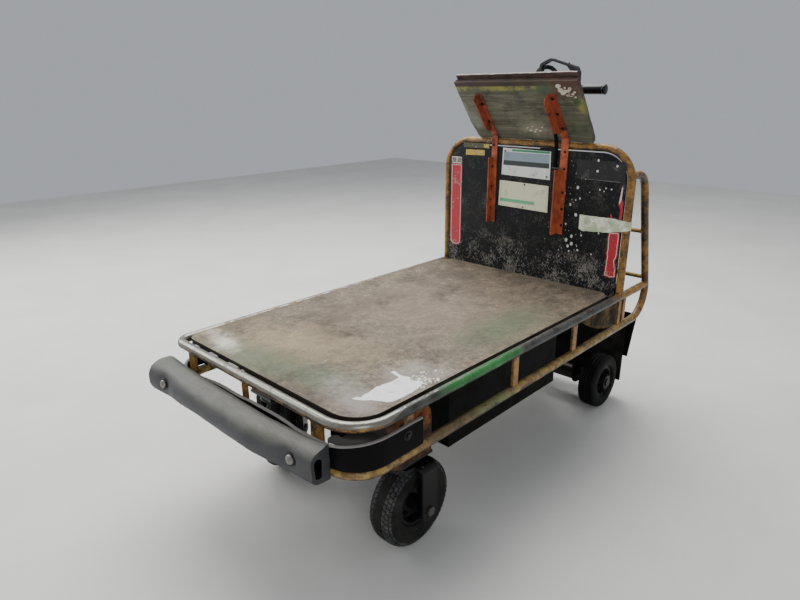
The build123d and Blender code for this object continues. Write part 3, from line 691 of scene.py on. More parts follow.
def row_at(rows, x):
    """The row of a table at a place between two of its rows, by their first column."""
    for a, b in zip(rows, rows[1:]):
        if x <= b[0]:
            share = (x - a[0]) / (b[0] - a[0])
            return [p + (q - p) * share for p, q in zip(a[1:], b[1:])]
    return list(rows[-1][1:])


def pointed(place, axis):
    """A matrix that puts the X axis along a direction."""
    return Matrix.Translation(place) @ Vector(axis).to_track_quat("X", "Z").to_matrix().to_4x4()


def about(turn, x, r, degrees):
    """A point given in mm along and round the X axis of a placing matrix."""
    y, z = ray(r, degrees)
    return turn @ (Vector((x, y, z)) * MM)


class Shell:
    """The points and faces of one mesh, in metres."""

    def __init__(self):
        self.points = []
        self.faces = []
        self.kinds = []

    def ring(self, points):
        start = len(self.points)
        self.points.extend(Vector(p) for p in points)
        return range(start, len(self.points))

    def face(self, corners, kind=0):
        self.faces.append(tuple(corners))
        self.kinds.append(kind)

    def band(self, a, b, closed=True, kind=0):
        for i in range(len(a) if closed else len(a) - 1):
            j = (i + 1) % len(a)
            self.face((a[i], a[j], b[j], b[i]), kind)

    def skin(self, rings, closed=True, ends="caps", kind=0):
        """Joins rings of points, each to the next. Ends are caps, open or loop."""
        made = [self.ring(points) for points in rings]
        for a, b in zip(made, made[1:]):
            self.band(a, b, closed, kind)
        if ends == "caps":
            self.face(made[0], kind)
            self.face(made[-1], kind)
        elif ends == "loop":
            self.band(made[-1], made[0], closed, kind)
        return made

    def sweep(self, path, outline, up, ends="caps"):
        """An outline of (across, above) in mm carried along a path. Up is the side that stays above."""
        rings = []
        last = len(path) - 1
        for i, point in enumerate(path):
            before = path[i - 1] if i or ends == "loop" else path[0]
            after = path[(i + 1) % len(path)] if i < last or ends == "loop" else path[last]
            ahead = (after - before).normalized()
            side = ahead.cross(Vector(up)).normalized()
            above = side.cross(ahead)
            rings.append([point + (side * u + above * v) * MM for u, v in outline])
        self.skin(rings, ends=ends)

    def lathe(self, profile, turn, steps=32, ends="caps", kind=0):
        """A profile of (along, radius) in mm turned about the X axis of a placing matrix."""
        angles = [360 * k / steps for k in range(steps)]
        self.skin([[about(turn, x, r, a) for a in angles] for x, r in profile], ends=ends, kind=kind)

    def domed_head(self, turn, r, high):
        """A round screw head on a surface, its axis along the X axis of turn."""
        dome = [ray(1.0, a) for a in range(15, 90, 15)]
        profile = [(-0.3 * high, r * 0.98), (0.15 * high, r)]
        profile += [(high * (0.3 + 0.7 * rise), r * reach) for reach, rise in dome]
        self.lathe(profile + [(high, r * 0.08)], turn, 16)

    def slab(self, outline, low, high, edge, spot, kind=0):
        """A plate between two levels with softened edges. spot(u, v, w) gives its points."""
        outline = [Vector(p) for p in outline]
        small = inset(outline, edge)
        levels = ((small, low), (outline, low + edge), (outline, high - edge), (small, high))
        self.skin([[spot(p.x, p.y, w) for p in points] for points, w in levels], kind=kind)

    def build(self, name, *materials, body="chassis", stands_for=(), crease=35.0):
        mesh = bpy.data.meshes.new(name)
        mesh.from_pydata(self.points, [], self.faces)
        mesh.polygons.foreach_set("material_index", self.kinds)
        work = bmesh.new()
        work.from_mesh(mesh)
        bmesh.ops.recalc_face_normals(work, faces=work.faces)
        work.to_mesh(mesh)
        work.free()
        mesh.polygons.foreach_set("use_smooth", [True] * len(mesh.polygons))
        mesh.set_sharp_from_angle(angle=math.radians(crease))
        for material in materials:
            mesh.materials.append(material)
        obj = bpy.data.objects.new(name, mesh)
        bpy.context.scene.collection.objects.link(obj)
        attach(obj, body)
        if stands_for:
            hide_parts(*stands_for)


# Places below are in mm, with Y from the backrest's plane
RAIL_X = 394.0
RAIL_FRONT = -1263.0
LOWER_RAIL_Z = 395.0
UPPER_RAIL_Z = 512.0
TUBE_R = 13.45
DECK_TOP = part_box("deck_board")[1].z / MM
PANEL_FRONT = -13.25
DESK_BEND_Y = -13.65
DESK_BEND_Z = 1049.0
DESK_SLOPE = math.radians(52.3)
DESK_THICK = 18.0
HANDLEBAR_Y = 140.0
HANDLEBAR_Z = 1211.0
BELT_BACK = -1277.0
BELT_START = -380.0
BELT_LENGTH = 702.0
# Sections of the belt: X, depth, low and high Z, radii of its front and back corners, drop of its top
BELT_SECTIONS = (
    (-380.0, 92.0, 379.0, 480.0, 44.0, 30.0, 0.0), (-300.0, 90.0, 384.0, 477.0, 44.0, 36.0, 0.0),
    (-170.0, 91.0, 390.0, 474.0, 40.0, 38.0, 0.0), (110.0, 90.0, 391.0, 472.0, 39.0, 38.0, 0.0),
    (250.0, 70.0, 386.0, 473.0, 32.0, 22.0, 8.0), (322.0, 52.0, 382.0, 474.0, 22.0, 5.0, 14.0),
)
# The hollow: X, back and front depth, low and high Z, corner radius
BELT_HOLLOWS = (
    (-380.0, 8.0, 84.0, 387.0, 472.0, 26.0), (110.0, 8.0, 82.0, 399.0, 464.0, 28.0),
    (250.0, 14.0, 60.0, 396.0, 460.0, 16.0), (322.0, 23.0, 42.0, 397.0, 447.0, 8.0),
)
# X, Z and the way out of each bolt through the belt
BELT_BOLTS = ((-300.0, 438.0, 86.0), (258.0, 434.0, 62.0))


def bumper_belt():
    """The folded belt: a closed loop with thick walls, drawn in at its bolts, sagging and wavy."""
    def place(x, forward, z, depth):
        share = max(0.0, min(1.0, forward / depth))
        # Each bolt pulls the belt in, most of all close to its head
        pull = 0.0
        for bolt_x, bolt_z, reach in BELT_BOLTS:
            near = ((x - bolt_x) / 34) ** 2 + ((z - bolt_z) / 30) ** 2
            wide = ((x - bolt_x) / 75) ** 2 + ((z - bolt_z) / 60) ** 2
            pull += (depth - reach + 5.0) * (0.7 * math.exp(-near * 1.2) + 0.3 * math.exp(-wide))
        forward -= pull * max(0.0, share * 1.6 - 0.6)
        if forward < depth - 2:
            forward += 1.6 * swing(x / 80, z / 45, 0.0, 9.0) * share
        z += 2.2 * swing(x / 95, forward / 60, z / 60, 3.0) * share
        frayed = 3.5 * swing(forward / 22, z / 22, x, 7.0) if abs(x + 29) > 340 else 0.0
        return at(x + frayed, BELT_BACK - max(0.0, forward), z)

    def outside(x):
        depth, low, high, front_r, back_r, drop = row_at(BELT_SECTIONS, x)
        middle = (low + high) / 2
        ring = []
        for forward, z in rounded_box(0.0, low, depth, high, (back_r, front_r, front_r, back_r)):
            lift = max(0.0, (z - middle) / (high - middle))
            ring.append(place(x, forward, z - drop * forward / depth * lift, depth))
        return ring

    def inside(x):
        depth = row_at(BELT_SECTIONS, x)[0]
        back, front, low, high, r = row_at(BELT_HOLLOWS, x)
        return [place(x, forward, z, depth) for forward, z in rounded_box(back, low, front, high, (r,) * 4)]

    stations = [BELT_START + BELT_LENGTH * k / 100 for k in range(101)]
    shell = Shell()
    outer = shell.skin([outside(x) for x in stations], ends="open")
    # The hollow's inside faces take the near-black rubber as painted shade.
    inner = shell.skin([inside(x) for x in stations], ends="open", kind=1)
    for end in (0, -1):
        shell.band(outer[end], inner[end])
    shell.build("bumper_belt", MATERIALS["belt_rubber"], DARK_RUBBER_AND_SHADE, stands_for=("bumper_sleeve",),
                crease=50)


def bumper_side_strip():
    """The flat belt round the front, its upper edge wavy, bowed back between the posts."""
    low, half = 409.0, 5.0
    side_x, front = 403.0, -1272.0
    right_r, left_r = 94, 79
    # X and height of the upper edge along the front
    tops = ((-410, 446), (-280, 442), (-182, 448), (-46, 458), (4, 462), (70, 458), (189, 457), (310, 465),
            (380, 478), (410, 482))
    path = [(side_x, -1058 - 10 * k) for k in range(13)]
    path += corner_path(side_x - right_r, front + right_r, right_r, 0, -90)
    path += [(300 - 12 * k, front) for k in range(52)]
    path += corner_path(-side_x + left_r, front + left_r, left_r, -90, -180)
    path += [(-side_x, -1190 + 12 * k) for k in range(1, 12)]
    rings = []
    for i, (x, y) in enumerate(path):
        ahead = (Vector(path[min(i + 1, len(path) - 1)]) - Vector(path[max(i - 1, 0)])).normalized()
        top = row_at(tops, x)[0] + 1.2 * swing(x * 0.02, y * 0.02, 0.0, 5.0)
        bow = 0.0
        for left, right in ((-285, -46), (-20, 240)):
            if left < x < right and y < -1240:
                bow = 7.0 * math.sin(math.pi * (x - left) / (right - left)) ** 2
        ring = []
        for across, z in rounded_box(-half, low, half, top, (2.0, 2.0, 2.5, 2.5), 3, 3):
            inward = across + bow * (z - low) / (top - low)
            ring.append(at(x + ahead.y * inward, y - ahead.x * inward, z))
        rings.append(ring)
    shell = Shell()
    shell.skin(rings)
    # The cut upper edge is painted paler as a highlight, with dust: the faces between the ring's two upper corners
    around = len(rings[0])
    for number in range(around * (len(rings) - 1)):
        if around // 2 <= number % around < around * 6 // 7:
            shell.kinds[number] = 1
    shell.kinds[around * (len(rings) - 1)] = 1
    shell.build("bumper_belt_strip", DARK_RUBBER_AND_SHADE, STRIP_EDGE_HIGHLIGHT, stands_for=("bumper_strip",), crease=40)


def castor_beam():
    """The pressed beam over the castors: rounded upper edges, eased ends, deeper over each castor."""
    front, rear, top = -1072.0, -932.0, 459.05
    front_r, rear_r, lip = 40.0, 57.0, 30.0
    length, wall, eased = 330.0, 5.0, 9.0

    def section(x, low, shrink):
        near = max(0.0, abs(x) - (length - eased)) / eased
        shrink += eased * (1 - math.sqrt(max(0.0, 1 - near ** 2))) * 0.9
        curve = [(front + shrink, low), (front + shrink, low + lip)]
        for centre_y, full_r, start in ((front + front_r, front_r, 180), (rear - rear_r, rear_r, 90)):
            r = full_r - shrink
            for k in range(9):
                y, z = ray(r, start - 90 * k / 8)
                curve.append((centre_y + y, top - shrink - r + z))
        curve += [(rear - shrink, low + lip), (rear - shrink, low)]
        return [at(x, y, z) for y, z in curve]

    last = [(length - 1.5 * k, 300.0) for k in range(7)]
    middle = [(-218, 300.0), (-218, 372.0), (218, 372.0), (218, 300.0)]
    stations = [(-x, low) for x, low in last] + middle + last[::-1]
    inside = [(max(wall - length, min(length - wall, x)), low) for x, low in stations]
    shell = Shell()
    outer = shell.skin([section(x, low, 0.0) for x, low in stations], closed=False, ends="open")
    inner = shell.skin([section(x, low, wall) for x, low in inside], closed=False, ends="open")
    for end in (0, -1):
        shell.face(outer[end])
        shell.face(inner[end])
        shell.face((outer[end][0], outer[end][-1], inner[end][-1], inner[end][0]))
        for a, b, c, d in zip(outer, outer[1:], inner, inner[1:]):
            shell.face((a[end], b[end], d[end], c[end]))
    shell.build("pressed_castor_beam", MATERIALS["castor_orange"], stands_for=("castor_beam",), crease=40)


def upper_rail():
    """The upper rail, bent round the front with a tighter bend at the left corner than at the right."""
    right_r, left_r = 105.0, 40.0
    rear = (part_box("upper_rail")[1].y - BACK) / MM - 1.0
    path = [(RAIL_X, rear), (RAIL_X, RAIL_FRONT + right_r + 15)]
    path += corner_path(RAIL_X - right_r, RAIL_FRONT + right_r, right_r, 0, -90, 20)
    path += [(RAIL_X - right_r - 15, RAIL_FRONT), (-RAIL_X + left_r + 12, RAIL_FRONT)]
    path += corner_path(-RAIL_X + left_r, RAIL_FRONT + left_r, left_r, -90, -180, 16)
    path += [(-RAIL_X, RAIL_FRONT + left_r + 12), (-RAIL_X, rear)]
    shell = Shell()
    shell.sweep([at(x, y, UPPER_RAIL_Z) for x, y in path], circle(TUBE_R, 32), Z_AXIS)
    shell.build("bent_upper_rail", MATERIALS["upper_rail"], stands_for=("upper_rail",))


def rail_lugs():
    """The upturned ends of the lugs on the front rail, and a thin strip, seen in the gap before the deck."""
    shell = Shell()
    for x, width, rear, high in ((-318, 24, -1237.5, 512), (-225, 40, -1237.5, 513), (-122, 48, -1237.5, 513),
                                 (-76, 13, -1237.5, 511), (217, 76, -1243.5, 509)):
        left, right = x - width / 2, x + width / 2
        corners = [(left, -1250), (right, -1250), (right, rear), (left, rear)]
        shell.slab(ragged(corners, 9.0, 0.5, 31), 498.0, high, 1.2, at)
    shell.build("rail_lugs", MATERIALS["deck_bearers"])


def corner_flap():
    """A dusty rubber flap that lies inside the strip at the right front corner."""
    outline = [(350, -1180), (322, -1212)] + corner_path(317, -1251, 20, 100, 262, 8)
    outline += corner_path(309, -1178, 88, -88, 0)[:-1] + [(397, -1180), (396, -1168), (390, -1160)]

    def sagging(u, v, w):
        return at(u, v, w + 1.5 * swing(u / 40, v / 40, 0.0, 6.0))

    shell = Shell()
    shell.slab(outline, 466.0, 472.0, 1.2, sagging)
    shell.build("corner_flap", FLAP_GREY)


def bumper_bolt_heads():
    """Flanged round-headed bolts through the folded belt, and one through the side of the strip."""
    flange = [(-1.6, 15.8), (0.0, 16.4), (0.8, 15.8), (1.0, 12.8)]
    head = [(0.4, 12.2), (1.6, 12.2), (4.0, 10.8), (6.0, 7.6), (6.8, 3.0)]
    shell = Shell()
    for x, z, reach in BELT_BOLTS:
        spot = at(x, BELT_BACK - reach, z)
        tilted = pointed(spot, (0.12, -1, 0.1))
        shell.lathe([(-reach - 10, 8.0), (0, 8.0)], pointed(spot, (0, -1, 0)), 20)
        shell.lathe(flange, tilted, kind=1)
        shell.lathe(head, tilted)
    shell.build("bumper_bolt_heads", MATERIALS["bolt_steel"], MATERIALS["rim_dark"],
                stands_for=("bumper_bolts",))
    side = Shell()
    turn = pointed(at(408, -1111, 456), X_AXIS)
    side.lathe([(-4.0, 12.5), (0.6, 13.0), (1.4, 12.2), (1.8, 9.0)], turn, 24)
    side.lathe([(1.0, 8.0), (5.2, 8.0), (6.0, 6.8), (6.1, 4.0)], turn, 6)
    side.build("strip_side_bolt", MATERIALS["rim_dark"])


def wheel_turn(joint):
    return pointed(Vector(joints[joint]["pos_m"]), joints[joint]["axis"])


def castor_fork(side):
    """A pressed fork: flanged legs, rounded shoulders and a crown that is round in front, with its race."""
    swivel = Vector(joints[f"{side}_castor_swivel"]["pos_m"])
    axis = joints[f"{side}_castor_spin"]["axis"]
    heading = Matrix.Rotation(math.atan2(axis[1], axis[0]), 4, "Z")
    turn = Matrix.Translation((swivel.x, swivel.y, 0.0)) @ heading
    out, top, bend, axle_y, axle_z, half = 77.5, 276.0, 24.0, 50.0, 130.0, 31.0
    front = axle_y - half
    # Each station: X and Z, the way out in X and Z, front edge, half width, depth of the flanges
    rows = []
    for k in range(7):
        wide, rise = ray(half, -84 + 14 * k)
        rows.append((out, axle_z + rise, 1.0, 0.0, axle_y - wide, wide, 20.0))
    for z, depth in ((170, 20), (215, 20), (top - bend, 17)):
        rows.append((out, z, 1.0, 0.0, front, half, depth))
    for k in range(1, 9):
        nx, nz = ray(1.0, 90 * k / 8)
        rows.append((out - bend + bend * nx, top - bend + bend * nz, nx, nz, front, half, 17 - k))
    for x in range(50, -1, -5):
        rows.append((x, top, 0.0, 1.0, front - 61 * math.sqrt(1 - (x / 60) ** 2), half, 9.0))
    rows += [(-x, z, -nx, *rest) for x, z, nx, *rest in reversed(rows[:-1])]
    rings = []
    for x, z, nx, nz, fore, wide, depth in rows:
        rear = axle_y + wide
        wall = min(5.0, (rear - fore) / 2.6)
        outline = ((fore, depth), (fore, 2.5), (fore + wall / 2, 0), (rear - wall / 2, 0), (rear, 2.5),
                   (rear, depth), (rear - wall, depth), (rear - wall, 5), (fore + wall, 5),
                   (fore + wall, depth))
        rings.append([turn @ (Vector((x - nx * d, y, z - nz * d)) * MM) for y, d in outline])
    shell = Shell()
    shell.skin(rings)
    race = [(-9.0, 30.0), (-7.5, 38.5), (-5.0, 40.0), (-2.2, 40.0), (-0.6, 38.5), (-0.4, 30.0)]
    shell.lathe(race, pointed(swivel, Z_AXIS), 48)
    shell.build(f"{side}_pressed_fork", MATERIALS["castor_dark"], body=f"{side}_castor",
                stands_for=(f"{side}_fork",), crease=40)


# The castor tyre's shoulder, from the smooth middle band to the wall: distance from the middle and radius
SHOULDER = ((14.0, 126.6), (20.0, 126.0), (27.0, 124.0), (32.0, 120.5), (35.5, 115.5), (37.2, 109.5),
            (37.8, 103.0))


def shoulder_at(reach, lift):
    """A point of the shoulder at a length along it, lifted out from it."""
    for a, b in zip(SHOULDER, SHOULDER[1:]):
        a, b = Vector(a), Vector(b)
        length = (b - a).length
        if reach <= length:
            break
        reach -= length
    along = (b - a).normalized()
    return a + along * reach + Vector((-along.y, along.x)) * lift


def tread_block(shell, turn, sign, low, high, centre, half_angle, slant, lift):
    """A block of tread that follows the shoulder from one length along it to another."""
    middle = (low + high) / 2
    rings = []
    for rise, swell in ((-0.8, 1.0), (lift * 0.8, 0.97), (lift, 0.86)):
        ring = []
        for k, side in ((-1, -1), (0, -1), (1, -1), (1, 1), (0, 1), (-1, 1)):
            reach = middle + (high - low) / 2 * swell * k
            x, r = shoulder_at(reach, rise)
            angle = centre + half_angle * (side * swell + slant * (reach - middle) / (high - low))
            ring.append(about(turn, sign * x, r, angle))
        rings.append(ring)
    shell.skin(rings, kind=1)


def tyre_profile(half):
    """A closed profile from the half of it on one side of the middle."""
    return [(-x, r) for x, r in reversed(half[1:])] + half


def castor_tyre(side):
    """A pneumatic tyre: a smooth middle band and three columns of blocks over each shoulder."""
    half = [(0.0, 129.6), (7.0, 129.6), (12.2, 129.3), (13.2, 128.6), *SHOULDER]
    half += [(38.2, 97.0), (38.0, 91.0), (38.6, 90.2), (38.6, 88.8), (37.8, 88.0), (37.4, 80.0), (37.9, 78.8),
             (37.9, 77.2), (37.0, 76.0), (36.2, 72.0), (33.5, 69.0), (28.0, 66.5)]
    # Columns of blocks: start and end along the shoulder, shift as a share of the pitch, slant, height
    columns = ((1.0, 10.0, 0.0, 0.5, 2.8), (11.5, 20.5, 0.5, 0.5, 2.8), (22.5, 29.0, 0.0, 0.0, 1.4))
    pitches, filled = 50, 0.80
    turn = wheel_turn(f"{side}_castor_spin")
    shell = Shell()
    shell.lathe(tyre_profile(half), turn, 120, ends="loop")
    for sign in (-1, 1):
        for low, high, shift, slant, lift in columns:
            for k in range(pitches):
                centre = 360 * (k + shift) / pitches
                tread_block(shell, turn, sign, low, high, centre, 180 / pitches * filled, slant, lift)
    shell.build(f"{side}_castor_treaded_tyre", MATERIALS["tyre_black"], TREAD, body=f"{side}_castor_wheel",
                stands_for=(f"{side}_castor_tyre",), crease=32)


def rear_tyre(side):
    """A ribbed tyre with four grooves, small blocks on its shoulders and a raised line on each wall."""
    half = [(0.0, 107.0)]
    for groove in (7.2, 18.6):
        half += [(groove - 2.2, 106.9), (groove - 1.4, 103.0), (groove + 1.4, 103.0), (groove + 2.2, 106.8)]
    half += [(24.5, 106.0), (29.0, 103.5), (31.8, 99.0), (33.8, 93.5), (34.8, 88.0), (34.4, 86.6),
             (35.0, 85.5), (35.0, 83.5), (34.3, 82.5), (34.5, 76.0), (33.8, 71.0), (31.0, 66.5), (25.2, 62.5)]
    blocks, block_angle = 48, 1.7189
    turn = wheel_turn(f"{side}_rear_spin")
    shell = Shell()
    shell.lathe(tyre_profile(half), turn, 128, ends="loop")
    for sign in (-1, 1):
        for k in range(blocks):
            rings = []
            for lift, swell in ((-1.2, 1.0), (1.0, 0.9), (1.3, 0.7)):
                ring = []
                for x, r, way in ((25.8, 104.3, -1), (31.8, 100.0, -1), (31.8, 100.0, 1), (25.8, 104.3, 1)):
                    x = 28.8 + (x - 28.8) * swell
                    ring.append(about(turn, sign * x, r + lift, 360 * k / blocks + block_angle * way * swell))
                rings.append(ring)
            shell.skin(rings)
    shell.build(f"{side}_rear_ribbed_tyre", MATERIALS[f"{side}_rear_tyre"], body=f"{side}_rear_wheel",
                stands_for=(f"{side}_rear_tyre",), crease=32)


def rim_fittings(wheel, bolt_r):
    """Hexagon bolts round both faces of a rim, and its valve."""
    web_half, count, valve_angle = 4.9, 5, 198
    washer_and_head = [(-1.0, 8.5), (1.2, 8.5), (1.4, 6.5), (6.0, 6.5), (6.6, 5.6)]
    stub = [(6.0, 3.6), (9.8, 3.6), (10.4, 3.0)]
    valve = [(-2.0, 5.0), (6.0, 4.6), (7.0, 3.0), (20.0, 2.8), (20.5, 3.6), (26.0, 3.6), (27.0, 2.8)]
    turn = wheel_turn(f"{wheel}_spin")
    shell = Shell()
    for sign in (-1, 1):
        for k in range(count):
            spot = about(turn, sign * web_half, bolt_r, 360 * (k + 0.25) / count)
            bolt = pointed(spot, turn.to_3x3() @ Vector((sign, 0, 0)))
            shell.lathe(washer_and_head, bolt, 6)
            shell.lathe(stub, bolt, 12)
    y, z = ray(1.0, valve_angle)
    leaning = turn.to_3x3() @ Vector((1, -0.35 * y, -0.35 * z))
    shell.lathe(valve, pointed(about(turn, web_half, bolt_r * 1.25, valve_angle), leaning), 14)
    shell.build(f"{wheel}_rim_bolts", MATERIALS["rim_dark"], body=f"{wheel}_wheel")


def on_panel(u, v, w):
    """A point on the front of the panel in mm: across, up and out from it."""
    return at(u, PANEL_FRONT - w, v)


def rectangle(u0, v0, u1, v1):
    return [(u0, v0), (u1, v0), (u1, v1), (u0, v1)]


def panel_layer(shell, outline, low=0.1, high=0.6, edge=0.2, kind=0):
    """A thin plate, label or drop on the panel, between two distances from it."""
    shell.slab(outline, low, high, edge, on_panel, kind)


def signs():
    """Two blank sign plates between the brackets, each on two screws."""
    upper_bands = ((0.940, 0.990, -0.112, 0.088, "8FA0AC"), (0.940, 0.958, -0.112, 0.088, "3A4440"),
                   (0.9925, 1.0005, -0.075, 0.088, "3E8F62"))
    lower_bands = ((0.800, 0.813, -0.121, 0.036, "6FB487"),)
    for name, corners, base, bands in (
            ("upper", [(-119, 903), (94, 899), (91, 1001), (-116, 1004)], "E4E6E2", upper_bands),
            ("lower", [(-127, 783), (93, 779), (91, 877), (-125, 881)], "DDDFBE", lower_bands)):
        outline = []
        for here, after in zip(corners, corners[1:] + corners[:1]):
            outline += [Vector(here).lerp(Vector(after), k / 6) for k in range(6)]
        shell = Shell()
        panel_layer(shell, outline, 0.6, 2.2, 0.5)
        shell.build(f"{name}_sign", printed(f"{name} sign print", base, bands, 0.66))
    screws = Shell()
    for x, z in ((-12, 873), (-14, 787), (80, 910), (-105, 992)):
        screws.domed_head(pointed(at(x, PANEL_FRONT - 2.2, z), (0, -1, 0)), 4.2, 2.2)
    screws.build("sign_screws", MATERIALS["bolt_steel"])


def rim_line(shell, outline, gap, width, w):
    """A raised printed line that follows an outline at a distance."""
    rings = []
    for amount in (gap, gap + width):
        points = inset(outline, amount)
        rings += [shell.ring([on_panel(p.x, p.y, level) for p in points]) for level in (w, w + 0.25)]
    for a, b in ((0, 2), (1, 3), (0, 1), (2, 3)):
        shell.band(rings[a], rings[b], kind=1)


def labels():
    """Blank labels on the panel: red ones at both sides, small ones, an olive plate and residue."""
    left = [Vector((-341 + 29 * x, 607 + 19 * z)) for x, z in (ray(1.0, a) for a in range(200, 350, 15))]
    left += [Vector((-313 + 0.8 * swing(0.7 * k, 0.0), 612 + 24.3 * k)) for k in range(14)]
    left += [Vector((-369.5 + 0.8 * swing(0.7 * k, 3.5), 928 - 24 * k)) for k in range(13)]
    right = ragged([(335, 585), (360, 580), (379, 585), (378, 616), (375, 626), (371, 643), (377, 658),
                    (378, 668), (378, 746), (339, 744), (336, 725), (338, 649)], 7, 0.9, 8)
    over = ragged([(369, 790), (371, 822), (363, 838), (362, 850), (365, 869), (368, 898), (373, 905),
                   (374, 889), (372, 861), (379, 850), (379, 790)], 8, 0.8, 11)
    sliver = ragged([(366, 842), (371, 860), (372, 889), (371, 903), (368, 896), (365, 867), (363, 845)],
                    8, 0.5, 14)
    shell = Shell()
    for outline in (left, right):
        panel_layer(shell, outline)
        rim_line(shell, outline, 3.5, 2.2, 0.6)
    panel_layer(shell, over[::-1])
    panel_layer(shell, sliver, 0.5, 0.9, kind=1)
    panel_layer(shell, ragged([(338, 788), (346, 788), (344, 800), (339, 808), (337, 804)], 5, 0.5, 15))
    white = printed("label white", "D8CFC8", wear=0.60)
    shell.build("red_labels", printed("red label", "B22A36", wear=0.61), white)
    squares = Shell()
    panel_layer(squares, ragged(rectangle(-367, 930, -315, 956), 8, 0.7, 4))
    panel_layer(squares, ragged(rectangle(-366, 933, -343, 953), 6, 0.8, 5), 0.5, 0.9, kind=1)
    panel_layer(squares, ragged(rectangle(-339, 933, -317, 953), 6, 0.8, 6), 0.5, 0.9, kind=1)
    squares.build("small_labels", white, printed("label grey", "6C6C68", wear=0.58))
    plates = Shell()
    panel_layer(plates, ragged([(-296, 967), (-203, 969), (-203, 989), (-296, 988)], 10, 0.6, 7), 0.1, 0.7)
    panel_layer(plates, [(-307, 995), (-179, 997), (-179, 1015), (-307, 1014)], 0.2, 1.8, 0.5, 1)
    panel_layer(plates, ragged(rectangle(-207, 999, -182, 1013), 6, 1.0, 9), 1.6, 2.1)
    plates.build("maker_plates_blank", printed("yellow label", "BFA24A", wear=0.6),
                 printed("olive plate", "4C4830", (), 0.58, 0.5))
    residue = Shell()
    panel_layer(residue, ragged([(194, 917), (374, 913), (376, 981), (195, 981)], 9, 2.0, 12), 0.0, 0.3, 0.1)
    line = (0.9150, 0.9168, 0.21, 0.36, "6E6B66")
    residue.build("label_residue", printed("residue", "17171A", (line,), 0.60, 0.55, "4A4844"))


def paint_drops():
    """Splashes of white paint on the panel."""
    # X, Z and radius
    drops = [(207, 884, 5.0), (219, 846, 3.0), (203, 839, 2.4), (208, 786, 5.2), (290, 884, 2.8),
             (312, 891, 2.4), (306, 880, 1.8), (332, 889, 2.6), (344, 968, 3.4), (275, 982, 3.6),
             (275, 946, 3.8), (301, 733, 3.0), (236, 715, 2.8), (198, 706, 5.0), (200, 679, 5.6),
             (226, 659, 3.2), (222, 673, 2.0), (183, 821, 4.0), (280, 653, 2.4), (178, 690, 6.0),
             (186, 668, 4.6), (158, 859, 3.2), (171, 748, 3.4), (192, 650, 2.6)]
    dice = random.Random(21)
    drops += [(dice.gauss(160, 45), dice.uniform(600, 960), dice.uniform(0.7, 1.5)) for _ in range(36)]
    shell = Shell()
    for x, z, r in drops:
        behind_bracket = x < 168 and z > 700
        if r < 2 and (behind_bracket or x > 380):
            continue
        outline = []
        for u, v in circle(1.0, 12):
            lobe = r * (1 + 0.28 * swing(u * 1.7, v * 1.7, x + z))
            outline.append((x + lobe * u, z + lobe * 1.25 * v))
        panel_layer(shell, outline, 0.0, 0.5)
    shell.build("paint_drops", printed("drop white", "D5D5D2", wear=0.7))


def tape():
    """Crinkled tape from the panel round the right upright."""
    # Along the tape: low and high Z
    widths = ((0.0, 738.0, 789.0), (14.0, 732.0, 789.5), (110.0, 740.0, 791.0), (160.0, 750.0, 789.0),
              (180.0, 755.0, 786.0), (230.0, 757.0, 782.0))
    across, thick = 12, 0.7
    route = [Vector((224 + 7 * k, -14.3)) for k in range(22)]
    route += [Vector((RAIL_X, 0.0)) + ray(14.4, a) for a in range(-95, 75, 10)]
    dice = random.Random(5)
    front, back = [], []
    length = 0.0
    for i, point in enumerate(route):
        before, after = route[max(i - 1, 0)], route[min(i + 1, len(route) - 1)]
        length += (point - before).length
        ahead = (after - before).normalized()
        out = Vector((ahead.y, -ahead.x))
        bottom, top = (z + dice.uniform(-0.9, 0.9) for z in row_at(widths, length))
        rows = []
        for k in range(across + 1):
            z = bottom + (top - bottom) * k / across
            crease = 1.2 * abs(swing(length / 26, z / 8, 0.0, 2.0))
            crease += 0.9 * abs(swing(length / 5, z / 30, 3.0))
            rows.append((point + out * crease, z))
        front.append([at(p.x, p.y, z) for p, z in rows])
        back.append([at(p.x - out.x * thick, p.y - out.y * thick, z) for p, z in rows])
    shell = Shell()
    outer = shell.skin(front, closed=False, ends="open")
    inner = shell.skin(back, closed=False, ends="open")
    for end in (0, -1):
        shell.band(outer[end], inner[end], closed=False)
        shell.band([ring[end] for ring in outer], [ring[end] for ring in inner], closed=False)
    shell.build("upright_tape", surface("old tape", tape_surface), crease=60)


def on_desk(u, v, w):
    """A point of the desk in mm: across, along its slope from the bend, and out from its underside."""
    along, rise = math.cos(DESK_SLOPE), math.sin(DESK_SLOPE)
    return at(u, DESK_BEND_Y - v * along + w * rise, DESK_BEND_Z + v * rise + w * along)


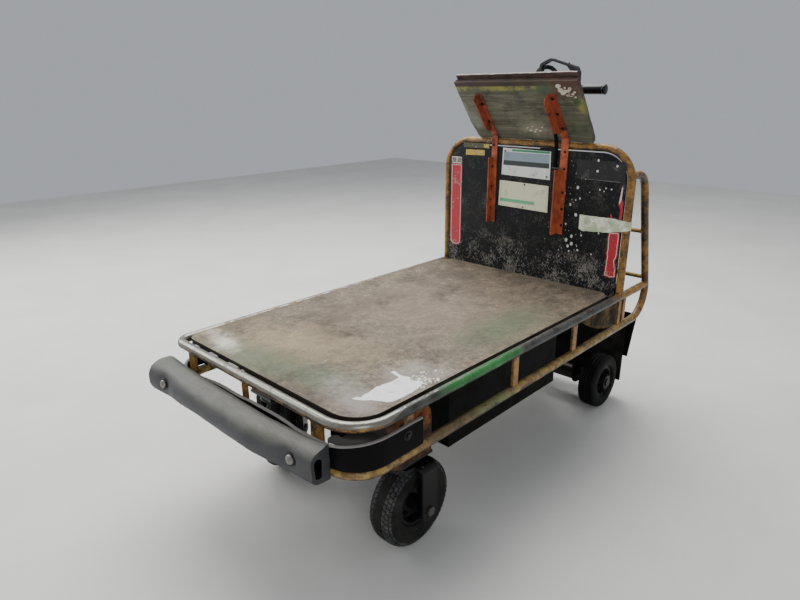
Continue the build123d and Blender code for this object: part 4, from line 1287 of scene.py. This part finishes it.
def desk():
    """A plywood board of uneven layers with a worn corner, and a thin lid glued on it."""
    worn = [(-231, -14), (247, -14.3), (248, 240), (-247, 241), (-248, 60), (-240, 22), (-238, -2)]
    set_back = (0.0, 1.1, 0.3, 1.3, 0.2, 0.9)
    ease, joint = 1.4, 0.25
    thickness = DESK_THICK / len(set_back)
    outline = ragged(worn, 14, 0.9, 31)
    rings = [(inset(outline, ease), 0.0)]
    for k, amount in enumerate(set_back):
        edge = inset(outline, amount)
        rings += [(edge, k * thickness + joint), (edge, (k + 1) * thickness - joint)]
    rings.append((inset(outline, ease), DESK_THICK))
    shell = Shell()
    made = [shell.ring([on_desk(p.x, p.y, w) for p in points]) for points, w in rings]
    for index, (a, b) in enumerate(zip(made, made[1:])):
        shell.band(a, b, kind=1 if index % 4 == 3 else 0)
    for end in (0, -1):
        shell.face(made[end])
    shell.build("desk_plywood", MATERIALS["desk_ply"], PLY_DARK, stands_for=("desk_board",), crease=30)
    lid = Shell()
    outline = ragged([(-244, -10), (243.5, -10.3), (244, 257), (226, 258), (-243, 257.5)], 12, 0.8, 33)
    lid.slab(outline, DESK_THICK + 0.05, 26.0, 1.5, on_desk)
    lid.build("desk_lid_board", MATERIALS["desk_lid"], stands_for=("desk_top",), crease=30)


def desk_flakes():
    """Chunks of dried glue and paper left at the desk's upper right corner and low on it."""
    # Middle across and along the slope, length, width, turn, height
    flakes = ((178, 221, 17, 12, 0.3, 3.2), (182, 205, 15, 16, 0.8, 3.8), (193, 197, 22, 15, 0.5, 4.6),
              (208, 199, 15, 11, -0.4, 2.8), (216, 208, 13, 10, 0.9, 2.6), (206, 184, 13, 9, 0.2, 2.4),
              (219, 186, 17, 8, 0.6, 2.6), (226, 174, 14, 6, 0.7, 2.2), (230, 196, 8, 6, 0.1, 1.8),
              (199, 213, 8, 6, 1.2, 1.8), (14, 31, 13, 6, 0.1, 1.4), (29, 26, 9, 6, 0.6, 1.6),
              (38, 36, 8, 5, 0.2, 1.4), (52, 30, 11, 5, -0.2, 1.4), (3, 42, 7, 4, 0.9, 1.2),
              (64, 46, 7, 4, 0.3, 1.2), (25, 49, 6, 4, 0.4, 1.2))
    shell = Shell()
    for number, (u, v, length, width, turn, high) in enumerate(flakes):
        outline = []
        for x, y in circle(1.0, 9):
            r = 1.25 + 0.4 * swing(1.3 * x, 1.3 * y, 1.3 * number, 2.0)
            point = Vector((length / 2 * r * x, width / 2 * r * y))
            point.rotate(Matrix.Rotation(turn, 2))
            outline.append((u + point.x, v + point.y))
        shell.slab(outline, 0.0, high, high * 0.3, lambda p, q, w: on_desk(p, q, -w))
    shell.build("desk_flakes", printed("dried glue", "C9BFB2", (), 0.58, 0.7, "A58F80"), crease=25)


def bracket_screws():
    """Screw heads down both angle brackets, on the panel and on the desk."""
    # X and Z of each screw on the upright parts; X and the way up the slope of each on the desk
    upright = ((-162, 854), (-163, 803), (-164, 770), (-165, 731), (-160, 930), (-159, 1012), (155, 741),
               (152, 800), (151, 860), (150, 944), (148, 1003))
    sloping = ((-154, 70), (-154, 150), (147, 48), (146, 110), (145, 172))
    bracket_thick = 4.0
    down = (0, -math.sin(DESK_SLOPE), -math.cos(DESK_SLOPE))
    shell = Shell()
    for x, z in upright:
        shell.domed_head(pointed(on_panel(x, z, bracket_thick + 0.4), (0, -1, 0)), 4.8, 2.6)
    for x, v in sloping:
        shell.domed_head(pointed(on_desk(x, v, -bracket_thick), down), 5.6, 3.0)
    shell.build("bracket_screws", MATERIALS["rim_dark"])


def bracket_strap():
    """An old strap beside the wide bracket, folded over at the top and tied with wire."""
    shell = Shell()
    path = [at(111 + 2.0 * swing(0.5 * k, 0.0), -15.6, 940 + 10 * k) for k in range(10)]
    path += [at(110, -17, 1042), at(110, -22, 1054), on_desk(110, 22, -2.6), on_desk(109, 31, -2.6)]
    shell.sweep(path, rounded_box(-7.0, -1.6, 7.0, 1.6, (1.2,) * 4, 2, 2), (0, -1, 0.25))
    shell.build("bracket_strap", DARK_RUBBER_AND_SHADE)
    loops = []
    for t in range(0, 90, 2):
        x = 106 + 0.4 * t + 1.5 * math.sin(t)
        loops.append(at(x, -19.5 - 1.2 * math.cos(t * 0.9), 945 + 2.0 * math.sin(t * 0.7)))
    wire = Shell()
    wire.sweep(loops, circle(0.8, 6), (0, 0.3, 1))
    wire.build("bracket_wire", MATERIALS["bolt_steel"])


def weld_beads():
    """Rough beads where the posts meet the rails."""
    # Y and width of the posts at the sides, and X and width of those in front
    sides = ((-1092.0, 25.0), (-649.0, 25.0), (-311.0, 25.0), (10.0, 18.0), (47.0, 20.0))
    fronts = ((-306.0, 34.0), (-33.0, 20.0), (266.0, 42.0))
    reach, post_half = TUBE_R - 0.85, 4.0
    posts = [(side * RAIL_X, y, post_half, width / 2) for side in (-1, 1) for y, width in sides]
    posts += [(x, RAIL_FRONT, width / 2, post_half) for x, width in fronts]
    shell = Shell()
    for x, y, half_x, half_y in posts:
        edge = rounded_box(x - half_x, y - half_y, x + half_x, y + half_y, (1.5,) * 4, 3, 5)
        for z, outward in ((LOWER_RAIL_Z + reach, 1), (UPPER_RAIL_Z - reach, -1)):
            path = []
            for p in edge:
                off_side = min(1.0, (abs(p.x - x) if half_x < half_y else abs(p.y - y)) / post_half)
                bump = 0.8 * swing(0.35 * p.x, 0.35 * p.y, 0.35 * z, 4.0)
                path.append(at(p.x, p.y, z - outward * 0.6 * off_side + bump))
            shell.sweep(path, circle(2.4, 7), Z_AXIS, ends="loop")
    shell.build("weld_beads", MATERIALS["rail_posts"], crease=60)


def grips():
    """Smooth grips with a fuller inner end, a groove before the outer one and a rounded cap."""
    start, end = 84.0, 202.0
    profile = [(start, 12.9), (start, 16.6), (start + 1.5, 18.0), (start + 6, 18.0), (start + 9, 17.3),
               (start + 40, 17.2), (end - 16, 17.3), (end - 12, 17.1), (end - 11, 16.5), (end - 10, 17.2),
               (end - 8, 18.0), (end - 3, 18.0), (end - 1, 17.2), (end, 14.5), (end, 2.0)]
    shell = Shell()
    for sign in (-1, 1):
        shell.lathe(profile, pointed(at(0, HANDLEBAR_Y, HANDLEBAR_Z), (sign, 0, 0)), 48)
    shell.build("smooth_grips", MATERIALS["grip_black"], stands_for=("handle_grips",), crease=40)


def small_straps():
    """A small strap arch on the handlebar inside the big bow, and a brace across the bow's right bend."""
    arch = [(-100, 0), (-99, 40), (-96, 63), (-86, 73), (-69, 80), (-51, 83), (-33, 79), (-20, 70), (-9, 58),
            (-2, 30), (0, 0)]
    brace = [(44, 90), (52, 82), (61, 72), (72, 66), (82, 65)]
    shell = Shell()
    for control, y, thick, r in ((arch, HANDLEBAR_Y + 18.0, 1.6, 1.2), (brace, HANDLEBAR_Y, 2.0, 1.4)):
        path = soft_path([at(x, y, HANDLEBAR_Z + z) for x, z in control])
        shell.sweep(path, rounded_box(-8.0, -thick, 8.0, thick, (r,) * 4, 2, 2), (0, -1, 0.001))
    shell.build("small_straps", MATERIALS["bow_strap"])


def paint_splash():
    """A thick splash of white paint on the deck, with a tail, and small spots round it."""
    edge = ragged([(272, -1162), (288, -1156), (307, -1141), (326, -1127), (348, -1116), (356, -1098),
                   (357, -1070), (357, -1042), (350, -1008), (344, -985), (325, -984), (312, -996),
                   (297, -984), (284, -990), (262, -991), (241, -985), (240, -998), (262, -1000),
                   (278, -1007), (279, -1025), (276, -1054), (272, -1086), (279, -1122), (284, -1142),
                   (274, -1149)], 9, 2.2, 41)

    def on_deck(u, v, w):
        return at(u, v, DECK_TOP + w)

    shell = Shell()
    shell.slab(edge, -0.2, 0.5, 0.3, on_deck)
    dice = random.Random(43)
    for _ in range(90):
        u, v = dice.uniform(296, 362), dice.gauss(-985, 26)
        r = dice.uniform(1.0, 3.6)
        outline = [(u + r * (1 + 0.3 * dice.random()) * x, v + r * (1 + 0.3 * dice.random()) * y)
                   for x, y in circle(1.0, 8)]
        shell.slab(outline, -0.2, 0.4, 0.2, on_deck)
    shell.build("paint_splash", printed("splash white", "E4E4E2", (), 0.655, 0.5, "B9B3AB"))


bumper_belt()
bumper_side_strip()
castor_beam()
upper_rail()
rail_lugs()
corner_flap()
bumper_bolt_heads()
for wheel_side in ("left", "right"):
    castor_fork(wheel_side)
    castor_tyre(wheel_side)
    rear_tyre(wheel_side)
    rim_fittings(f"{wheel_side}_castor", 40.0)
    rim_fittings(f"{wheel_side}_rear", 43.0)
signs()
labels()
paint_drops()
tape()
desk()
bracket_screws()
bracket_strap()
weld_beads()
grips()
small_straps()
paint_splash()
desk_flakes()


def make_floor():
    bpy.ops.mesh.primitive_plane_add(size=14.0)
    floor = bpy.context.object
    floor.name = "floor"
    floor.data.materials.append(surface("pale floor", floor_surface))


def make_lights():
    world = bpy.data.worlds.new("studio")
    bpy.context.scene.world = world
    world.use_nodes = True
    world.node_tree.nodes["Background"].inputs[0].default_value = (0.80, 0.84, 0.90, 1.0)
    world.node_tree.nodes["Background"].inputs[1].default_value = 0.50
    aim = Vector((0.0, 0.0, 0.5))
    for name, place, size, power in (("sky light", (-1.5, 1.0, 4.2), 4.0, 300.0),
                                     ("left light", (-4.0, -1.5, 2.6), 2.5, 110.0),
                                     ("right light", (3.4, -2.6, 2.2), 2.0, 35.0)):
        data = bpy.data.lights.new(name, "AREA")
        data.size = size
        data.energy = power
        light = bpy.data.objects.new(name, data)
        bpy.context.scene.collection.objects.link(light)
        light.location = place
        light.rotation_euler = (aim - Vector(place)).to_track_quat("-Z", "Y").to_euler()


def make_camera():
    yaw, pitch, roll = (math.radians(a) for a in (CAMERA_YAW, CAMERA_PITCH, CAMERA_ROLL))
    ahead = Vector((-math.sin(yaw) * math.cos(pitch), math.cos(yaw) * math.cos(pitch), -math.sin(pitch)))
    right = Vector((math.cos(yaw), math.sin(yaw), 0.0))
    up = right.cross(ahead)
    across = right * math.cos(roll) + up * math.sin(roll)
    above = up * math.cos(roll) - right * math.sin(roll)
    data = bpy.data.cameras.new("camera")
    data.lens = CAMERA_LENS
    data.sensor_width = 36.0
    camera = bpy.data.objects.new("camera", data)
    bpy.context.scene.collection.objects.link(camera)
    turn = Matrix((across, above, -ahead)).transposed().to_4x4()
    camera.matrix_world = Matrix.Translation(CAMERA_PLACE) @ turn
    bpy.context.scene.camera = camera


make_floor()
make_lights()
make_camera()
